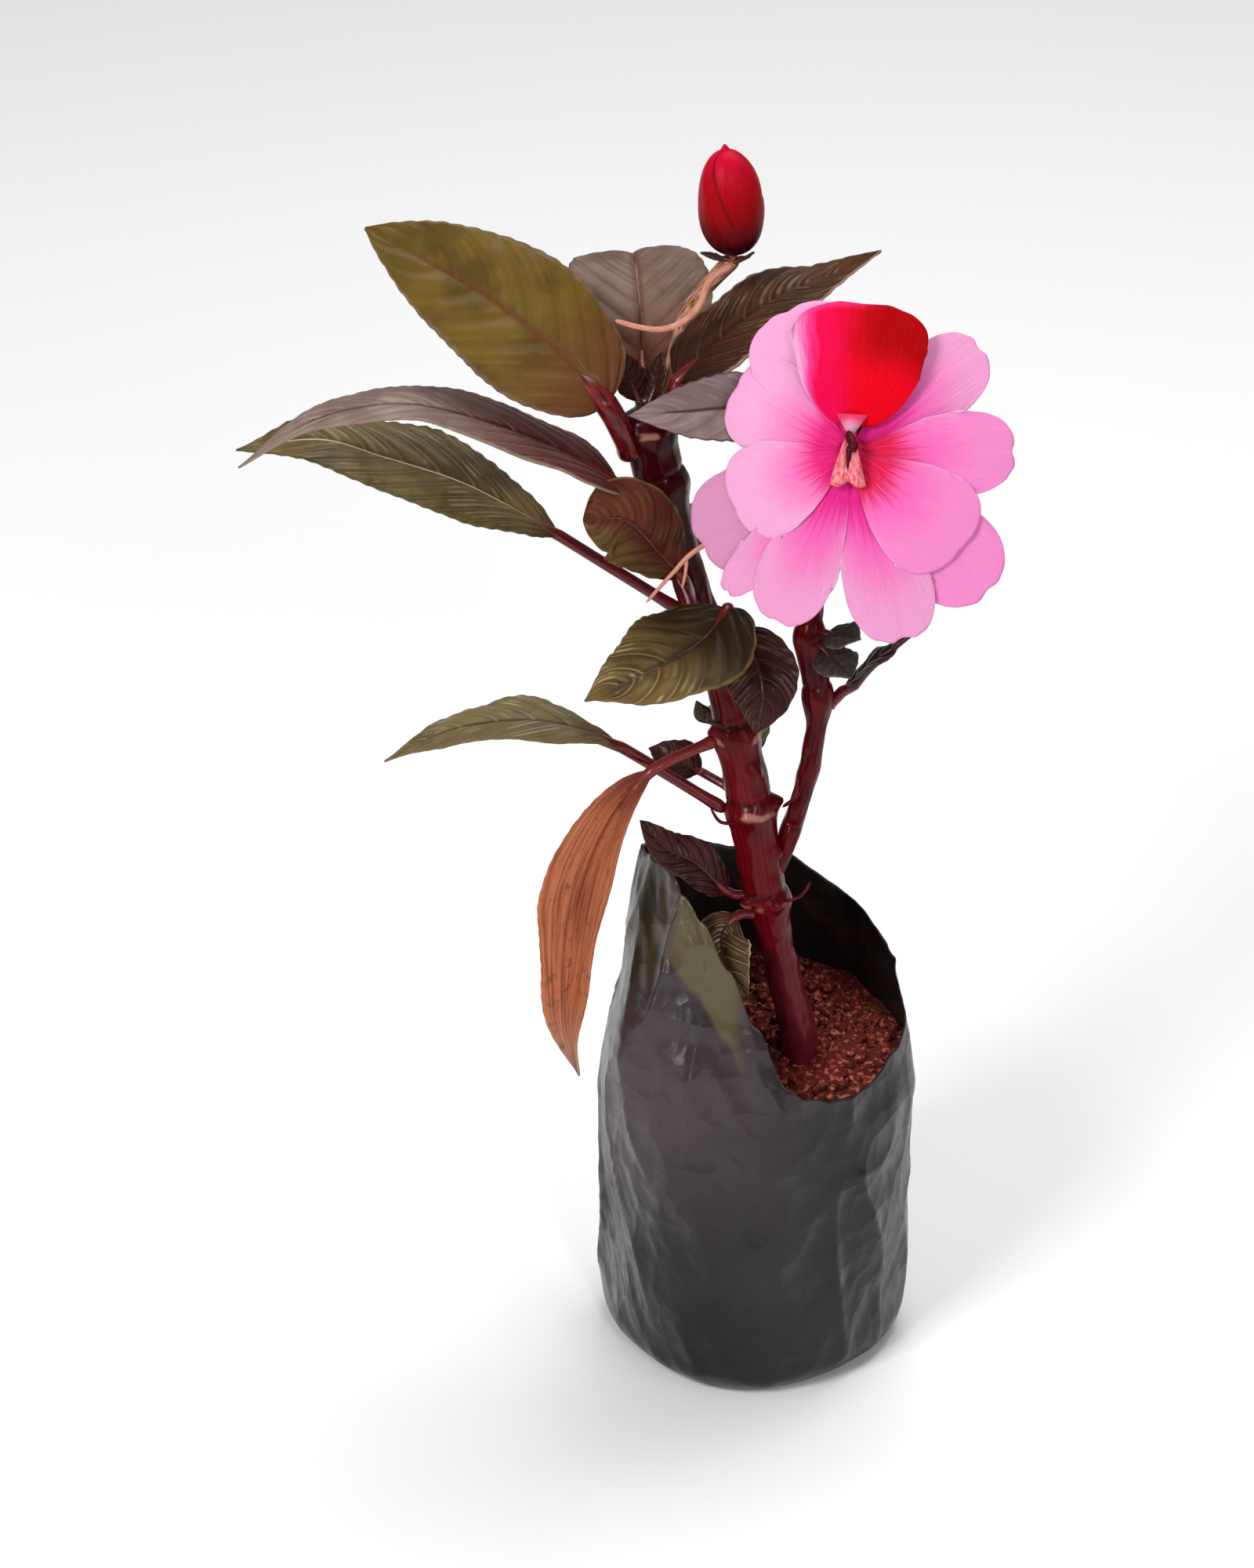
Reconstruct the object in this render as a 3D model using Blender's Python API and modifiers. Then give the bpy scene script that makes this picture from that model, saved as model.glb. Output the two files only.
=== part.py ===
"""A New Guinea busy lizzie in its nursery bag: one rooted cutting in a small black film sleeve filled with red soil.

Sizes are in millimetres times MM, so the model itself is in metres. X runs to the right of the front view,
Y away from the viewer and Z up. The origin is the middle of the bag's base, which stands on the ground.
"""

import math

import bmesh
import bpy
from mathutils import Matrix, Vector, noise

MM = 0.001
FIT_GAP = 0.35 * MM  # clear space between pieces that touch

# The bag is a 4 by 5 inch sleeve: 102 mm flat, so about 65 mm across when it is full.
BAG_RADIUS = 32 * MM
BAG_WALL = 0.8 * MM
BAG_STEPS = 40
BASE_CORNER = 6 * MM
SOIL_LEVEL = 70 * MM
SOIL_ROUGHNESS = 1.3 * MM

# Rim of the sleeve above the ground, by direction round the bag: right 0, back 90, left 180, front 270 degrees.
RIM_HEIGHTS = (
    (0, 79), (45, 88), (90, 97), (135, 104), (170, 109), (195, 112), (215, 112), (230, 110), (243, 106), (257, 97),
    (270, 86.5), (282, 74), (290, 70), (303, 68.5), (318, 69), (335, 73), (350, 77), (360, 79),
)

# Middle line of the main stem in millimetres, from below the soil to the growing tip.
MAIN_STEM = (
    (9.6, -6.6, 48), (9.0, -6.6, 70), (5.4, -6.0, 86), (1.8, -5.2, 102), (-1.6, -4.2, 122), (-4.6, -3.0, 138),
    (-8.0, -1.6, 152), (-13.4, -0.2, 168), (-18.0, 0, 184), (-21.0, 0, 196), (-23.2, 0, 206),
)
MAIN_RADII = ((70, 3.8), (92, 3.2), (106, 4.3), (128, 4.3), (142, 3.7), (160, 3.3), (174, 3.3), (188, 4.4), (199, 5.0),
              (210, 3.0))
NODE_SWELL = 0.9 * MM
MAIN_NODES = (102, 122, 138, 158, 190, 202)

# The side shoot leaves the main stem at its lowest node and carries the open flower.
SIDE_SHOOT = (
    (1.0, -5.0, 104), (4.6, -3.8, 112), (8.0, -2.0, 123), (10.4, -0.6, 134), (11.2, 0, 145), (9.4, 1.2, 158),
    (11.2, 3.0, 178), (13.0, 4.0, 196),
)
SIDE_RADIUS = 2.0 * MM
SIDE_SWELL = 0.7 * MM  # extra round the joint with the bracts
SIDE_SWELL_HEIGHT = 152
SIDE_SWELL_REACH = 9
SIDE_NODES = (145, 158, 192)
STEM_SIDES = 10

LEAF_THICKNESS = 0.8 * MM
COLUMNS = (-1.0, -0.5, 0.0, 0.5, 1.0)  # places across a blade, from its left edge by the rib to its right edge

FLOWER_CENTRE = Vector((16.0, -22.0, 207.0)) * MM
FLOWER_FACES = Vector((-0.10, -0.90, 0.40))  # the way the open flower looks
PETAL_THICKNESS = 0.75 * MM
HUB_RADIUS = 3.2 * MM

BUD_CENTRE = Vector((-7.0, 6.0, 245.5)) * MM
BUD_HALF_LENGTH = 10.4 * MM
BUD_RADIUS = 6.1 * MM
BUD_LEAN = 6  # degrees to the left
BUD_TAPER = 0.10
BUD_BLUNTNESS = 2.4


def clear_scene():
    """Leaves nothing in the scene but what this script makes."""
    for item in list(bpy.data.objects):
        bpy.data.objects.remove(item, do_unlink=True)


def make_material(name, colour, roughness, metallic=0.0):
    """A plain finish with the part's own colour."""
    material = bpy.data.materials.new(name)
    material.use_nodes = True
    shader = material.node_tree.nodes["Principled BSDF"]
    shader.inputs["Base Color"].default_value = (*colour, 1)
    shader.inputs["Roughness"].default_value = roughness
    shader.inputs["Metallic"].default_value = metallic
    material.diffuse_color = (*colour, 1)
    return material


def add_object(name, mesh, material, collection):
    """Puts a mesh in the scene as one named piece."""
    piece = bpy.data.objects.new(name, mesh)
    collection.objects.link(piece)
    if material:
        mesh.materials.append(material)
    return piece


def finish_mesh(name, shape):
    """Turns a closed bmesh into a mesh, smooth except at its sharp edges."""
    bmesh.ops.recalc_face_normals(shape, faces=shape.faces)
    mesh = bpy.data.meshes.new(name)
    shape.to_mesh(mesh)
    shape.free()
    mesh.shade_smooth()
    mesh.set_sharp_from_angle(angle=math.radians(45))
    return mesh


def loft(name, rings, lower_half=None):
    """A closed skin over a row of rings with equal counts of points.

    Points from lower_half on lie under the blade, and their quads are split the other way round, so that both
    faces of a thin waved blade break along the same lines and never cross.
    """
    shape = bmesh.new()
    rows = [[shape.verts.new(point) for point in ring] for ring in rings]
    count = len(rows[0])
    for near, far in zip(rows, rows[1:]):
        for k in range(count):
            a, b, c, d = near[k], near[(k + 1) % count], far[(k + 1) % count], far[k]
            if lower_half is not None and lower_half <= k < count - 1:
                shape.faces.new((a, b, d))
                shape.faces.new((b, c, d))
            else:
                shape.faces.new((a, b, c))
                shape.faces.new((a, c, d))
    for end in (rows[0], rows[-1]):
        if lower_half is None:
            shape.faces.new(end)
            continue
        for k in range(lower_half - 1):
            shape.faces.new((end[k], end[k + 1], end[count - 2 - k], end[count - 1 - k]))
    return finish_mesh(name, shape)


def curve_through(points, per_span):
    """Points on a smooth line through the given ones."""
    spots = [Vector(p) * MM for p in points]
    padded = [2 * spots[0] - spots[1], *spots, 2 * spots[-1] - spots[-2]]
    line = []
    for a, b, c, d in zip(padded, padded[1:], padded[2:], padded[3:]):
        for k in range(per_span):
            t = k / per_span
            line.append(0.5 * ((2 * b) + (c - a) * t + (2 * a - 5 * b + 4 * c - d) * t * t + (3 * b - 3 * c + d - a) * t**3))
    line.append(spots[-1])
    return line


def tube(name, line, radii, sides):
    """A round closed stem along a line, with its own radius at each point and no twist from ring to ring."""
    rings = []
    across = Vector((1, 0, 0))
    for k, centre in enumerate(line):
        along = (line[min(k + 1, len(line) - 1)] - line[max(k - 1, 0)]).normalized()
        if k == 0 and abs(along.x) > 0.8:
            across = Vector((0, 0, 1))
        across = (across - along * across.dot(along)).normalized()
        upwards = along.cross(across)
        ring = []
        for j in range(sides):
            turn = 2 * math.pi * j / sides
            ring.append(centre + (across * math.cos(turn) + upwards * math.sin(turn)) * radii[k])
        rings.append(ring)
    return loft(name, rings)


def swollen(z, thickness, nodes):
    """Radius of a stem at height z, thicker at its nodes."""
    swell = sum(math.exp(-(((z / MM - node) / 3.0) ** 2)) for node in nodes)
    return thickness + NODE_SWELL * min(swell, 1.0)


def main_radius(z):
    """The main stem is thickest round its lower nodes and tapers to its tip."""
    height = min(max(z / MM, MAIN_RADII[0][0]), MAIN_RADII[-1][0])
    for (low, low_radius), (high, high_radius) in zip(MAIN_RADII, MAIN_RADII[1:]):
        if low <= height <= high:
            thickness = low_radius + (high_radius - low_radius) * (height - low) / (high - low)
            return swollen(z, thickness * MM, MAIN_NODES)
    raise ValueError(z)


def side_radius(z):
    """The side shoot is thickest between its two lower nodes."""
    swell = SIDE_SWELL * math.exp(-(((z / MM - SIDE_SWELL_HEIGHT) / SIDE_SWELL_REACH) ** 2))
    return swollen(z, SIDE_RADIUS + swell, SIDE_NODES)


def point_at_height(path, z):
    """Where a stem's middle line passes the height z, in millimetres."""
    for low, high in zip(path, path[1:]):
        if low[2] <= z <= high[2]:
            share = (z - low[2]) / (high[2] - low[2])
            return Vector(low).lerp(Vector(high), share) * MM
    raise ValueError(z)


def blade_width(t, foot, tip):
    """Half width of a leaf as a share of its widest. Larger foot and tip exponents draw that end out thinner."""
    widest = foot / (foot + tip)
    return t**foot * (1 - t) ** tip / (widest**foot * (1 - widest) ** tip)


def leaf_places(points, stations):
    """Places along a leaf: (share of the blade, centre, along), with shares below 0 on the stalk.

    The first two points are the ends of the stalk, the others lie along the rib of the blade.
    """
    line = curve_through(points, 10)
    stalk, blade = line[:11], line[10:]
    spots = [(-1 + k / 3, stalk[int(10 * k / 3)]) for k in range(3)]
    run = [0.0]
    for a, b in zip(blade, blade[1:]):
        run.append(run[-1] + (b - a).length)
    for k in range(stations + 1):
        wanted = run[-1] * k / stations
        after = min(next(i for i in range(1, len(run)) if run[i] >= wanted - 1e-9), len(run) - 1)
        share = (wanted - run[after - 1]) / (run[after] - run[after - 1])
        spots.append((k / stations, blade[after - 1].lerp(blade[after], share)))
    places = []
    for k, (share, spot) in enumerate(spots):
        along = spots[min(k + 1, len(spots) - 1)][1] - spots[max(k - 1, 0)][1]
        places.append((share, spot, along.normalized()))
    return places


def leaf_mesh(name, points, width, face, stalk=1.15, fold=14, arch=0.22, wave=0.5, shape=(0.85, 1.1), turn=0, stations=12):
    """One leaf with its stalk as a closed skin of ten-point sections. Its upper side looks towards face.

    Width, stalk and wave are in millimetres. Fold is the angle of each half above flat, arch bows the halves
    down, and turn rolls the upper side about the rib towards the tip.
    """
    teeth = stations > 8
    rings = []
    for k, (share, centre, along) in enumerate(leaf_places(points, stations)):
        side = along.cross(Vector(face)).normalized()
        side = Matrix.Rotation(math.radians(turn * max(share, 0)), 3, along) @ side
        up = side.cross(along)
        half = width / 2 * MM * blade_width(min(max(share, 0.0), 0.985), *shape)
        saw = 0.5 * MM * ((k % 2) - 0.3) if teeth and 0.08 < share < 0.95 else 0
        as_stalk = 1 - min(max(share / 0.16, 0), 1)
        top, bottom = [], []
        for place in COLUMNS:
            reach = half * place + (math.copysign(saw, place) if abs(place) == 1 else 0)
            lift = abs(reach) * math.sin(math.radians(fold)) - arch * half * place * place
            lift += wave * MM * place * place * math.sin(15 * share + (1.6 if place > 0 else 0)) * min(1, half / (6 * MM))
            on_blade = side * (reach * math.cos(math.radians(fold))) + up * lift
            thick = LEAF_THICKNESS / 2
            rib = 0.7 * MM * (1 - max(share, 0)) if place == 0 else 0
            angle = math.radians(90 - 72 * place)
            out, rise = side * (stalk * MM * math.cos(angle)), up * (stalk * MM * math.sin(angle))
            top.append(centre + (on_blade + up * thick).lerp(out + rise, as_stalk))
            bottom.append(centre + (on_blade - up * (thick + rib)).lerp(out - rise, as_stalk))
        rings.append(top + bottom[::-1])
    return loft(name, rings, lower_half=len(COLUMNS))


def leaf_start(path, radius_at, z, towards, stalk):
    """The foot of a leaf stalk just clear of the stem's skin at height z, on the side of the point towards."""
    centre = point_at_height(path, z)
    outwards = Vector(towards) * MM - centre
    rise = outwards.normalized().z
    outwards.z = 0
    clear = max(radius_at((z + k) * MM) for k in (-2, 0, 2)) + FIT_GAP + stalk * MM * abs(rise) + 0.2 * MM
    return (centre + outwards.normalized() * clear) / MM


# Leaves: name, stem (main or side), height of its node, points from the top of its stalk along its rib to its
# tip in millimetres, width, the way its upper side looks, and what sets it apart.
LEAVES = (
    ("leaf_top_left", "main", 197, ((-30, -5.5, 209), (-38, -3.5, 217.8), (-53, 1, 228.4), (-75.5, 5, 240)), 29,
     (0.3, -0.72, 0.62), dict(stalk=2.3, shape=(0.5, 0.86), stations=16)),
    ("leaf_top_back", "main", 204, ((-23.5, 8.5, 208), (-24.5, 20, 219.5), (-26, 33, 224.5), (-28, 47, 216)), 29,
     (0, -0.35, 0.94), dict(stalk=1.5, shape=(0.6, 1.0))),
    ("leaf_top_right", "main", 202, ((-16.5, -1, 212), (-9, 2, 219.5), (1.5, 6, 226.5), (11.5, 9, 229.8), (21.5, 12, 234)),
     22, (-0.45, -0.25, 0.85), dict(stalk=1.5, shape=(0.5, 1.15))),
    ("leaf_upper_left", "main", 185, ((-27.5, -7.6, 193.6), (-38.5, -9.6, 201.5), (-52.5, -12.5, 208.5), (-68, -16.5, 213.5),
                                      (-84, -20, 211.5), (-98, -23, 203)), 21, (0.1, -0.05, 1),
     dict(shape=(0.33, 1.1), stations=16)),
    ("leaf_lower_left", "main", 163, ((-39, -3, 180.5), (-48, -4, 187), (-58.5, -5, 193), (-72, -6, 198),
                                      (-84.5, -7, 202), (-100, -8, 200)), 23, (0.2, -0.25, 0.93), dict(stations=16)),
    ("leaf_front_spoon", "main", 166, ((-15, -10.5, 175), (-19.5, -12.5, 181.5), (-26, -14, 189), (-34, -14, 189)), 17,
     (-0.1, -0.9, 0.4), dict(shape=(1.0, 0.6), wave=0.8)),
    ("leaf_inner_left", "side", 193, ((7.5, -4.5, 206.5), (-3, -10.9, 211.2), (-14.5, -15, 212), (-25.5, -17.5, 212)), 13.2,
     (0, -0.86, 0.5), dict()),
    ("leaf_mid_left", "main", 159, ((-6.5, -12, 170), (-11.5, -20, 167), (-20, -28, 165), (-33, -36, 162)), 25,
     (-0.1, -0.35, 0.93), dict(shape=(0.65, 1.1))),
    ("leaf_mid_front", "main", 153, ((-4.5, -12, 164.5), (-1, -18, 162), (0.5, -22, 156), (-1, -23, 148.5)), 15,
     (0.2, -0.8, 0.5), dict()),
    ("leaf_low_left", "main", 122, ((-27, -6, 136.5), (-35.5, -8, 142), (-46.5, -9, 144), (-60.5, -9, 141.5), (-73.5, -8, 134)),
     18, (0.05, 0, 1), dict()),
    ("leaf_withered", "main", 138, ((-21, -11, 134), (-28, -13, 124.5), (-32.5, -14, 111), (-35, -14.5, 95.5),
                                    (-36.8, -14.5, 78.5), (-35.5, -14.5, 66.5)), 20, (-0.5, -0.8, 0.1),
     dict(fold=46, arch=0.1, wave=0.8, stations=16)),
    ("leaf_base_left", "main", 104, ((-6, -7.5, 105.5), (-12, -10.5, 113.5), (-18, -13.5, 118.5), (-23, -14.5, 125)), 9,
     (0.1, -0.75, 0.65), dict(stations=12, stalk=1.0, shape=(0.55, 0.8))),
    ("leaf_base_front", "main", 101, ((-4, -11, 102), (-7, -15, 100), (-6, -19, 95), (-1.5, -22, 89.5)), 12,
     (-0.2, -0.8, 0.5), dict(stations=12, stalk=1.0)),
    ("leaf_axil", "main", 126, ((-11.5, 0.5, 128), (-16, 2, 130), (-22, 4, 131.5)), 9, (0.1, -0.6, 0.8),
     dict(stations=10, stalk=0.9)),
    ("leaf_side_right", "side", 143, ((16, 1, 146), (20, 2, 150.5), (24.5, 3, 154), (30, 4, 158)), 11,
     (-0.3, 0.2, 0.9), dict(stations=12)),
    ("leaf_back_right", "side", 191, ((17.5, 9, 194), (24, 14, 196), (31, 20, 196), (37, 26, 192)), 17,
     (0, -0.1, 1), dict()),
    ("leaf_back_mid", "side", 194, ((14, 10, 198), (15.5, 22, 202.5), (17, 36, 202.5), (18.5, 50, 197)), 22,
     (0, -0.1, 1), dict()),
    ("leaf_back_left", "side", 190, ((10, 9, 192), (4, 18, 194), (-1, 26, 192), (-6, 33, 187)), 14,
     (0, -0.1, 1), dict(stations=12)),
    ("leaf_rear_upper", "main", 168, ((-14.5, 8, 171), (-16.5, 17, 174), (-18.5, 29, 172.5), (-20, 41, 165)), 15,
     (0, -0.1, 1), dict()),
    ("leaf_rear_lower", "main", 124, ((-2.5, 6, 127), (-3.5, 15, 131.5), (-5.5, 25, 131), (-7.5, 34, 125)), 12,
     (0, -0.1, 1), dict(stations=12)),
)

# Young leaves and bracts fused with the stems: foot, tip, width and the way the upper side looks.
YOUNG_LEAVES = (
    ((-22.8, 0, 203), (-19.8, 3.5, 216), 7, (-0.5, -0.3, 0.5)),
    ((-22.6, 0, 203), (-27.0, 3.5, 216), 8, (0.5, -0.5, 0.5)),
    ((13, 4, 194), (17.5, 7, 203), 5, (-0.5, -0.2, 0.6)),
    ((9.6, 1.2, 158), (17.5, -9, 154), 10, (0.3, -0.6, 0.8)),
    ((9.8, 1.2, 159), (19, -8, 162), 8, (0.1, -0.5, 0.8)),
)

# Petals: direction from the right in degrees, length, width, how far it lies behind the front and its curl.
PINK_PETALS = (
    (118, 29.5, 21, 2.4, 0.12), (154, 25.3, 18, 1.3, 0.14), (207, 24.5, 18, 0.3, 0.14), (4, 30.5, 15, 0.9, 0.12),
    (322, 27.5, 20, 0.1, 0.12), (249, 34.8, 14.5, 1.8, 0.10), (289, 36.5, 16.5, 2.3, 0.10), (43, 31.0, 14.5, 3.0, 0.10),
    (318, 36.5, 18, 3.2, 0.08), (215, 33.5, 19.5, 3.3, 0.08), (231, 35.5, 8, 2.6, 0.10),
)
STANDARD_PETAL = (88, 28, 25, -2.0, 0.10)
CLAW = 1.25  # how slowly a petal widens from its foot
STANDARD_CLAW = 0.5
PETAL_SHARES = (0.0, 0.2, 0.42, 0.62, 0.8, 0.93, 1.0)


def petal_width(t, claw):
    """Half width of a petal as a share of its widest: a narrow claw that spreads to a round end."""
    return 0.16 + 0.84 * math.sin(math.pi / 2 * min(t / 0.72, 1)) ** claw - 0.55 * max(0, (t - 0.72) / 0.28) ** 2.2


def petal_rings(frame, direction, length, width, behind, curl, start=0.0, claw=CLAW):
    """Ten-point sections of one petal from its claw to its notched end. frame is (centre, right, up, front)."""
    centre, right, up, front = frame
    angle = math.radians(direction)
    along = right * math.cos(angle) + up * math.sin(angle)
    across = front.cross(along)
    rings = []
    for t in PETAL_SHARES:
        top, bottom = [], []
        for place in COLUMNS:
            half = width / 2 * petal_width(t, claw)
            reach = start + (length - start) * t * (1 - 0.10 * place * place * t) - (0.05 * length * t**6 if place == 0 else 0)
            bow = curl * length * (t * (1 - t) * 1.6 - 0.55 * t * t) - 0.05 * half * place * place
            middle = centre + along * reach + across * (half * place) + front * (bow - behind * (0.35 + 0.65 * t))
            top.append(middle + front * PETAL_THICKNESS / 2)
            bottom.append(middle - front * PETAL_THICKNESS / 2)
        rings.append(top + bottom[::-1])
    return rings


def flower_frame():
    """(centre, right, up, front) of the open flower."""
    front = FLOWER_FACES.normalized()
    right = Vector((0, 0, 1)).cross(front).normalized()
    return FLOWER_CENTRE, right, front.cross(right), front


def keep_outer_skin(mesh):
    """Drops the small pockets and slivers that a union of crossing petals leaves beside its own skin."""
    shape = bmesh.new()
    shape.from_mesh(mesh)
    left, islands = set(shape.faces), []
    while left:
        island, queue = [], [left.pop()]
        while queue:
            face = queue.pop()
            island.append(face)
            for near in [near for edge in face.edges if len(edge.link_faces) == 2 for near in edge.link_faces]:
                if near in left:
                    left.remove(near)
                    queue.append(near)
        islands.append(island)
    islands.sort(key=len)
    bmesh.ops.delete(shape, geom=[face for island in islands[:-1] for face in island], context="FACES")
    shape.to_mesh(mesh)
    shape.free()


def joined(name, meshes, material, collection, solver="EXACT"):
    """One body made of several closed meshes by a Boolean union."""
    repeats = bpy.data.collections.new(name + "_repeats")
    bpy.context.scene.collection.children.link(repeats)
    for k, mesh in enumerate(meshes[1:]):
        add_object(f"{name}_piece_{k}", mesh, None, repeats)
    body = add_object(name, meshes[0], material, collection)
    union = body.modifiers.new("join", "BOOLEAN")
    union.operation = "UNION"
    union.operand_type = "COLLECTION"
    union.collection = repeats
    union.solver = solver
    bpy.context.view_layer.update()
    merged = bpy.data.meshes.new_from_object(body.evaluated_get(bpy.context.evaluated_depsgraph_get()))
    keep_outer_skin(merged)
    body.modifiers.clear()
    body.data = merged
    for item in list(repeats.objects):
        bpy.data.objects.remove(item, do_unlink=True)
    bpy.data.collections.remove(repeats)
    return body


def rim_height(azimuth):
    """Height of the sleeve's edge in a direction, in metres."""
    azimuth = azimuth % 360
    for (low, low_rim), (high, high_rim) in zip(RIM_HEIGHTS, RIM_HEIGHTS[1:]):
        if low <= azimuth <= high:
            share = (azimuth - low) / (high - low)
            share = share * share * (3 - 2 * share)
            return (low_rim + (high_rim - low_rim) * share) * MM
    raise ValueError(azimuth)


def bag_point(azimuth, z):
    """A point on the outside of the sleeve: nearly round with slack folds, and drawn in above the soil on the left."""
    turn = math.radians(azimuth)
    height = z / MM
    slack = 0.9 * math.sin(3 * turn + height / 22) + 0.6 * math.sin(5 * turn - height / 15 + 1.0)
    squareness = 0.9 * math.cos(4 * turn + 0.5) * max(0, 1 - height / 60)
    belly = 1.2 * math.sin(math.pi * min(height / 70, 1))
    radius = BAG_RADIUS / MM - 1.6 + belly + slack * min(1, height / 25) + squareness
    above = max(0, height - SOIL_LEVEL / MM - 2)
    leaning = 0.5 + 0.5 * math.cos(turn - math.radians(185))
    radius -= above * (0.05 + 0.16 * leaning)
    return Vector((radius * math.cos(turn), radius * math.sin(turn), height)) * MM


def inside_bag(azimuth, z, inset, share=1.0):
    """A point inset from the sleeve's outside, or a share of the way out to it."""
    spot = bag_point(azimuth, z)
    flat = Vector((spot.x, spot.y, 0))
    return (flat - flat.normalized() * inset) * share + Vector((0, 0, z))


def corner_rows(inset, floor):
    """Rings round the rounded edge of the base, from its flat up to the side."""
    rows = []
    for angle in (0, 32, 64, 90):
        lean = math.radians(angle)
        depth = inset + BASE_CORNER * (1 - math.sin(lean))
        height = floor + BASE_CORNER * (1 - math.cos(lean))
        rows.append([inside_bag(a, height, depth) for a in directions()])
    return rows


def bag_rows():
    """Rings of the sleeve's outside from the flat base up to its slanting edge."""
    corner = corner_rows(0, 0)
    rows = [[point * share for point in corner[0]] for share in (0.36, 0.72)] + corner
    for share in (0.1, 0.24, 0.4, 0.56, 0.72, 0.86, 1.0):
        rows.append([bag_point(a, BASE_CORNER + (rim_height(a) - BASE_CORNER) * share) for a in directions()])
    return rows


def directions():
    """Directions round the bag in degrees."""
    return [360 * k / BAG_STEPS for k in range(BAG_STEPS)]


def make_bag(material, collection):
    """The film sleeve: an open skin over its rings, given its wall inwards."""
    shape = bmesh.new()
    rows = [[shape.verts.new(point) for point in row] for row in bag_rows()]
    middle = shape.verts.new((0, 0, 0))
    for k in range(BAG_STEPS):
        after = (k + 1) % BAG_STEPS
        shape.faces.new((middle, rows[0][after], rows[0][k]))
        for low, high in zip(rows, rows[1:]):
            shape.faces.new((low[k], low[after], high[after], high[k]))
    mesh = bpy.data.meshes.new("bag")
    shape.to_mesh(mesh)
    shape.free()
    mesh.shade_smooth()
    bag = add_object("bag", mesh, material, collection)
    wall = bag.modifiers.new("wall", "SOLIDIFY")
    wall.thickness = BAG_WALL
    wall.offset = -1
    wall.use_even_offset = False
    return bag


def soil_height(x, y):
    """Height of the crumbly soil surface, a little lower in front and heaped at the stem."""
    spot = Vector((x, y, 0)) / MM
    lumps = noise.noise(spot / 9) * 1.5 + noise.noise(spot / 4 + Vector((7, 3, 1))) * 0.6
    heap = 3.0 * math.exp(-(((spot.x - 9) / 12) ** 2) - (((spot.y + 5) / 12) ** 2))
    return SOIL_LEVEL + (lumps + heap - 1.8 + spot.y * 0.07) * MM


def make_soil(material, collection):
    """The soil that fills the sleeve, with a plain hole for the stem."""
    inner = BAG_WALL + FIT_GAP + 0.3 * MM
    rows = corner_rows(inner, BAG_WALL + FIT_GAP)
    for share in (0.2, 0.4, 0.6, 0.8):
        top = SOIL_LEVEL - 4 * MM
        rows.append([inside_bag(a, 1.3 * BASE_CORNER + (top - 1.3 * BASE_CORNER) * share, inner) for a in directions()])
    for share in (1.0, 0.84, 0.64, 0.42, 0.2):
        ring = []
        for a in directions():
            spot = inside_bag(a, SOIL_LEVEL - 3 * MM, inner, share)
            height = min(soil_height(spot.x, spot.y), rim_height(a) - 1.2 * MM)
            spot = inside_bag(a, height, inner, share)
            ring.append(Vector((spot.x, spot.y, height)))
        rows.append(ring)
    soil = add_object("soil", loft("soil", rows), material, collection)
    hole = add_object("stem_hole", tube("stem_hole", [Vector(MAIN_STEM[0]) * MM - Vector((0, 0, 1.2 * MM)),
                                                    Vector(MAIN_STEM[1]) * MM, Vector(MAIN_STEM[2]) * MM],
                                       [main_radius(SOIL_LEVEL) + FIT_GAP] * 3, 16), None, collection)
    hole.hide_render = True
    hole.display_type = "WIRE"
    cut = soil.modifiers.new("stem hole", "BOOLEAN")
    cut.operation = "DIFFERENCE"
    cut.object = hole
    return soil


def make_stems(material, collection):
    """The main stem and the side shoot that grew from it, with its young leaves and bracts, as one body."""
    main_line = curve_through(MAIN_STEM, 3)
    side_line = curve_through(SIDE_SHOOT, 3)
    meshes = [tube("main_stem", main_line, [main_radius(p.z) for p in main_line], STEM_SIDES)]
    meshes.append(tube("side_shoot", side_line, [side_radius(p.z) for p in side_line], 10))
    for k, (foot, top, width, face) in enumerate(YOUNG_LEAVES):
        foot, top = Vector(foot), Vector(top)
        points = (foot, foot.lerp(top, 0.3), foot.lerp(top, 0.65), top)
        meshes.append(leaf_mesh(f"young_leaf_{k}", points, width, face, stalk=0.9, stations=6))
    lost = [Vector(p) * MM for p in ((-5.5, -4, 141), (-8.8, -6, 142), (-11.2, -6.6, 144.5), (-12.5, -7, 147.6))]
    meshes.append(tube("lost_bud", lost, [0.7 * MM, 0.6 * MM, 1.7 * MM, 0.6 * MM], 8))
    return joined("stems", meshes, material, collection)


def make_leaves(materials, collection):
    """Every large leaf, each with its own stalk, beside the stem that it grew on."""
    stems = {"main": (MAIN_STEM, main_radius), "side": (SIDE_SHOOT, side_radius)}
    for name, stem, z, points, width, face, extra in LEAVES:
        path, radius_at = stems[stem]
        start = leaf_start(path, radius_at, z, points[0], extra.get("stalk", 1.15))
        mesh = leaf_mesh(name, (start, *points), width, face, **extra)
        add_object(name, mesh, materials.get(name, materials["leaf"]), collection)


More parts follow.
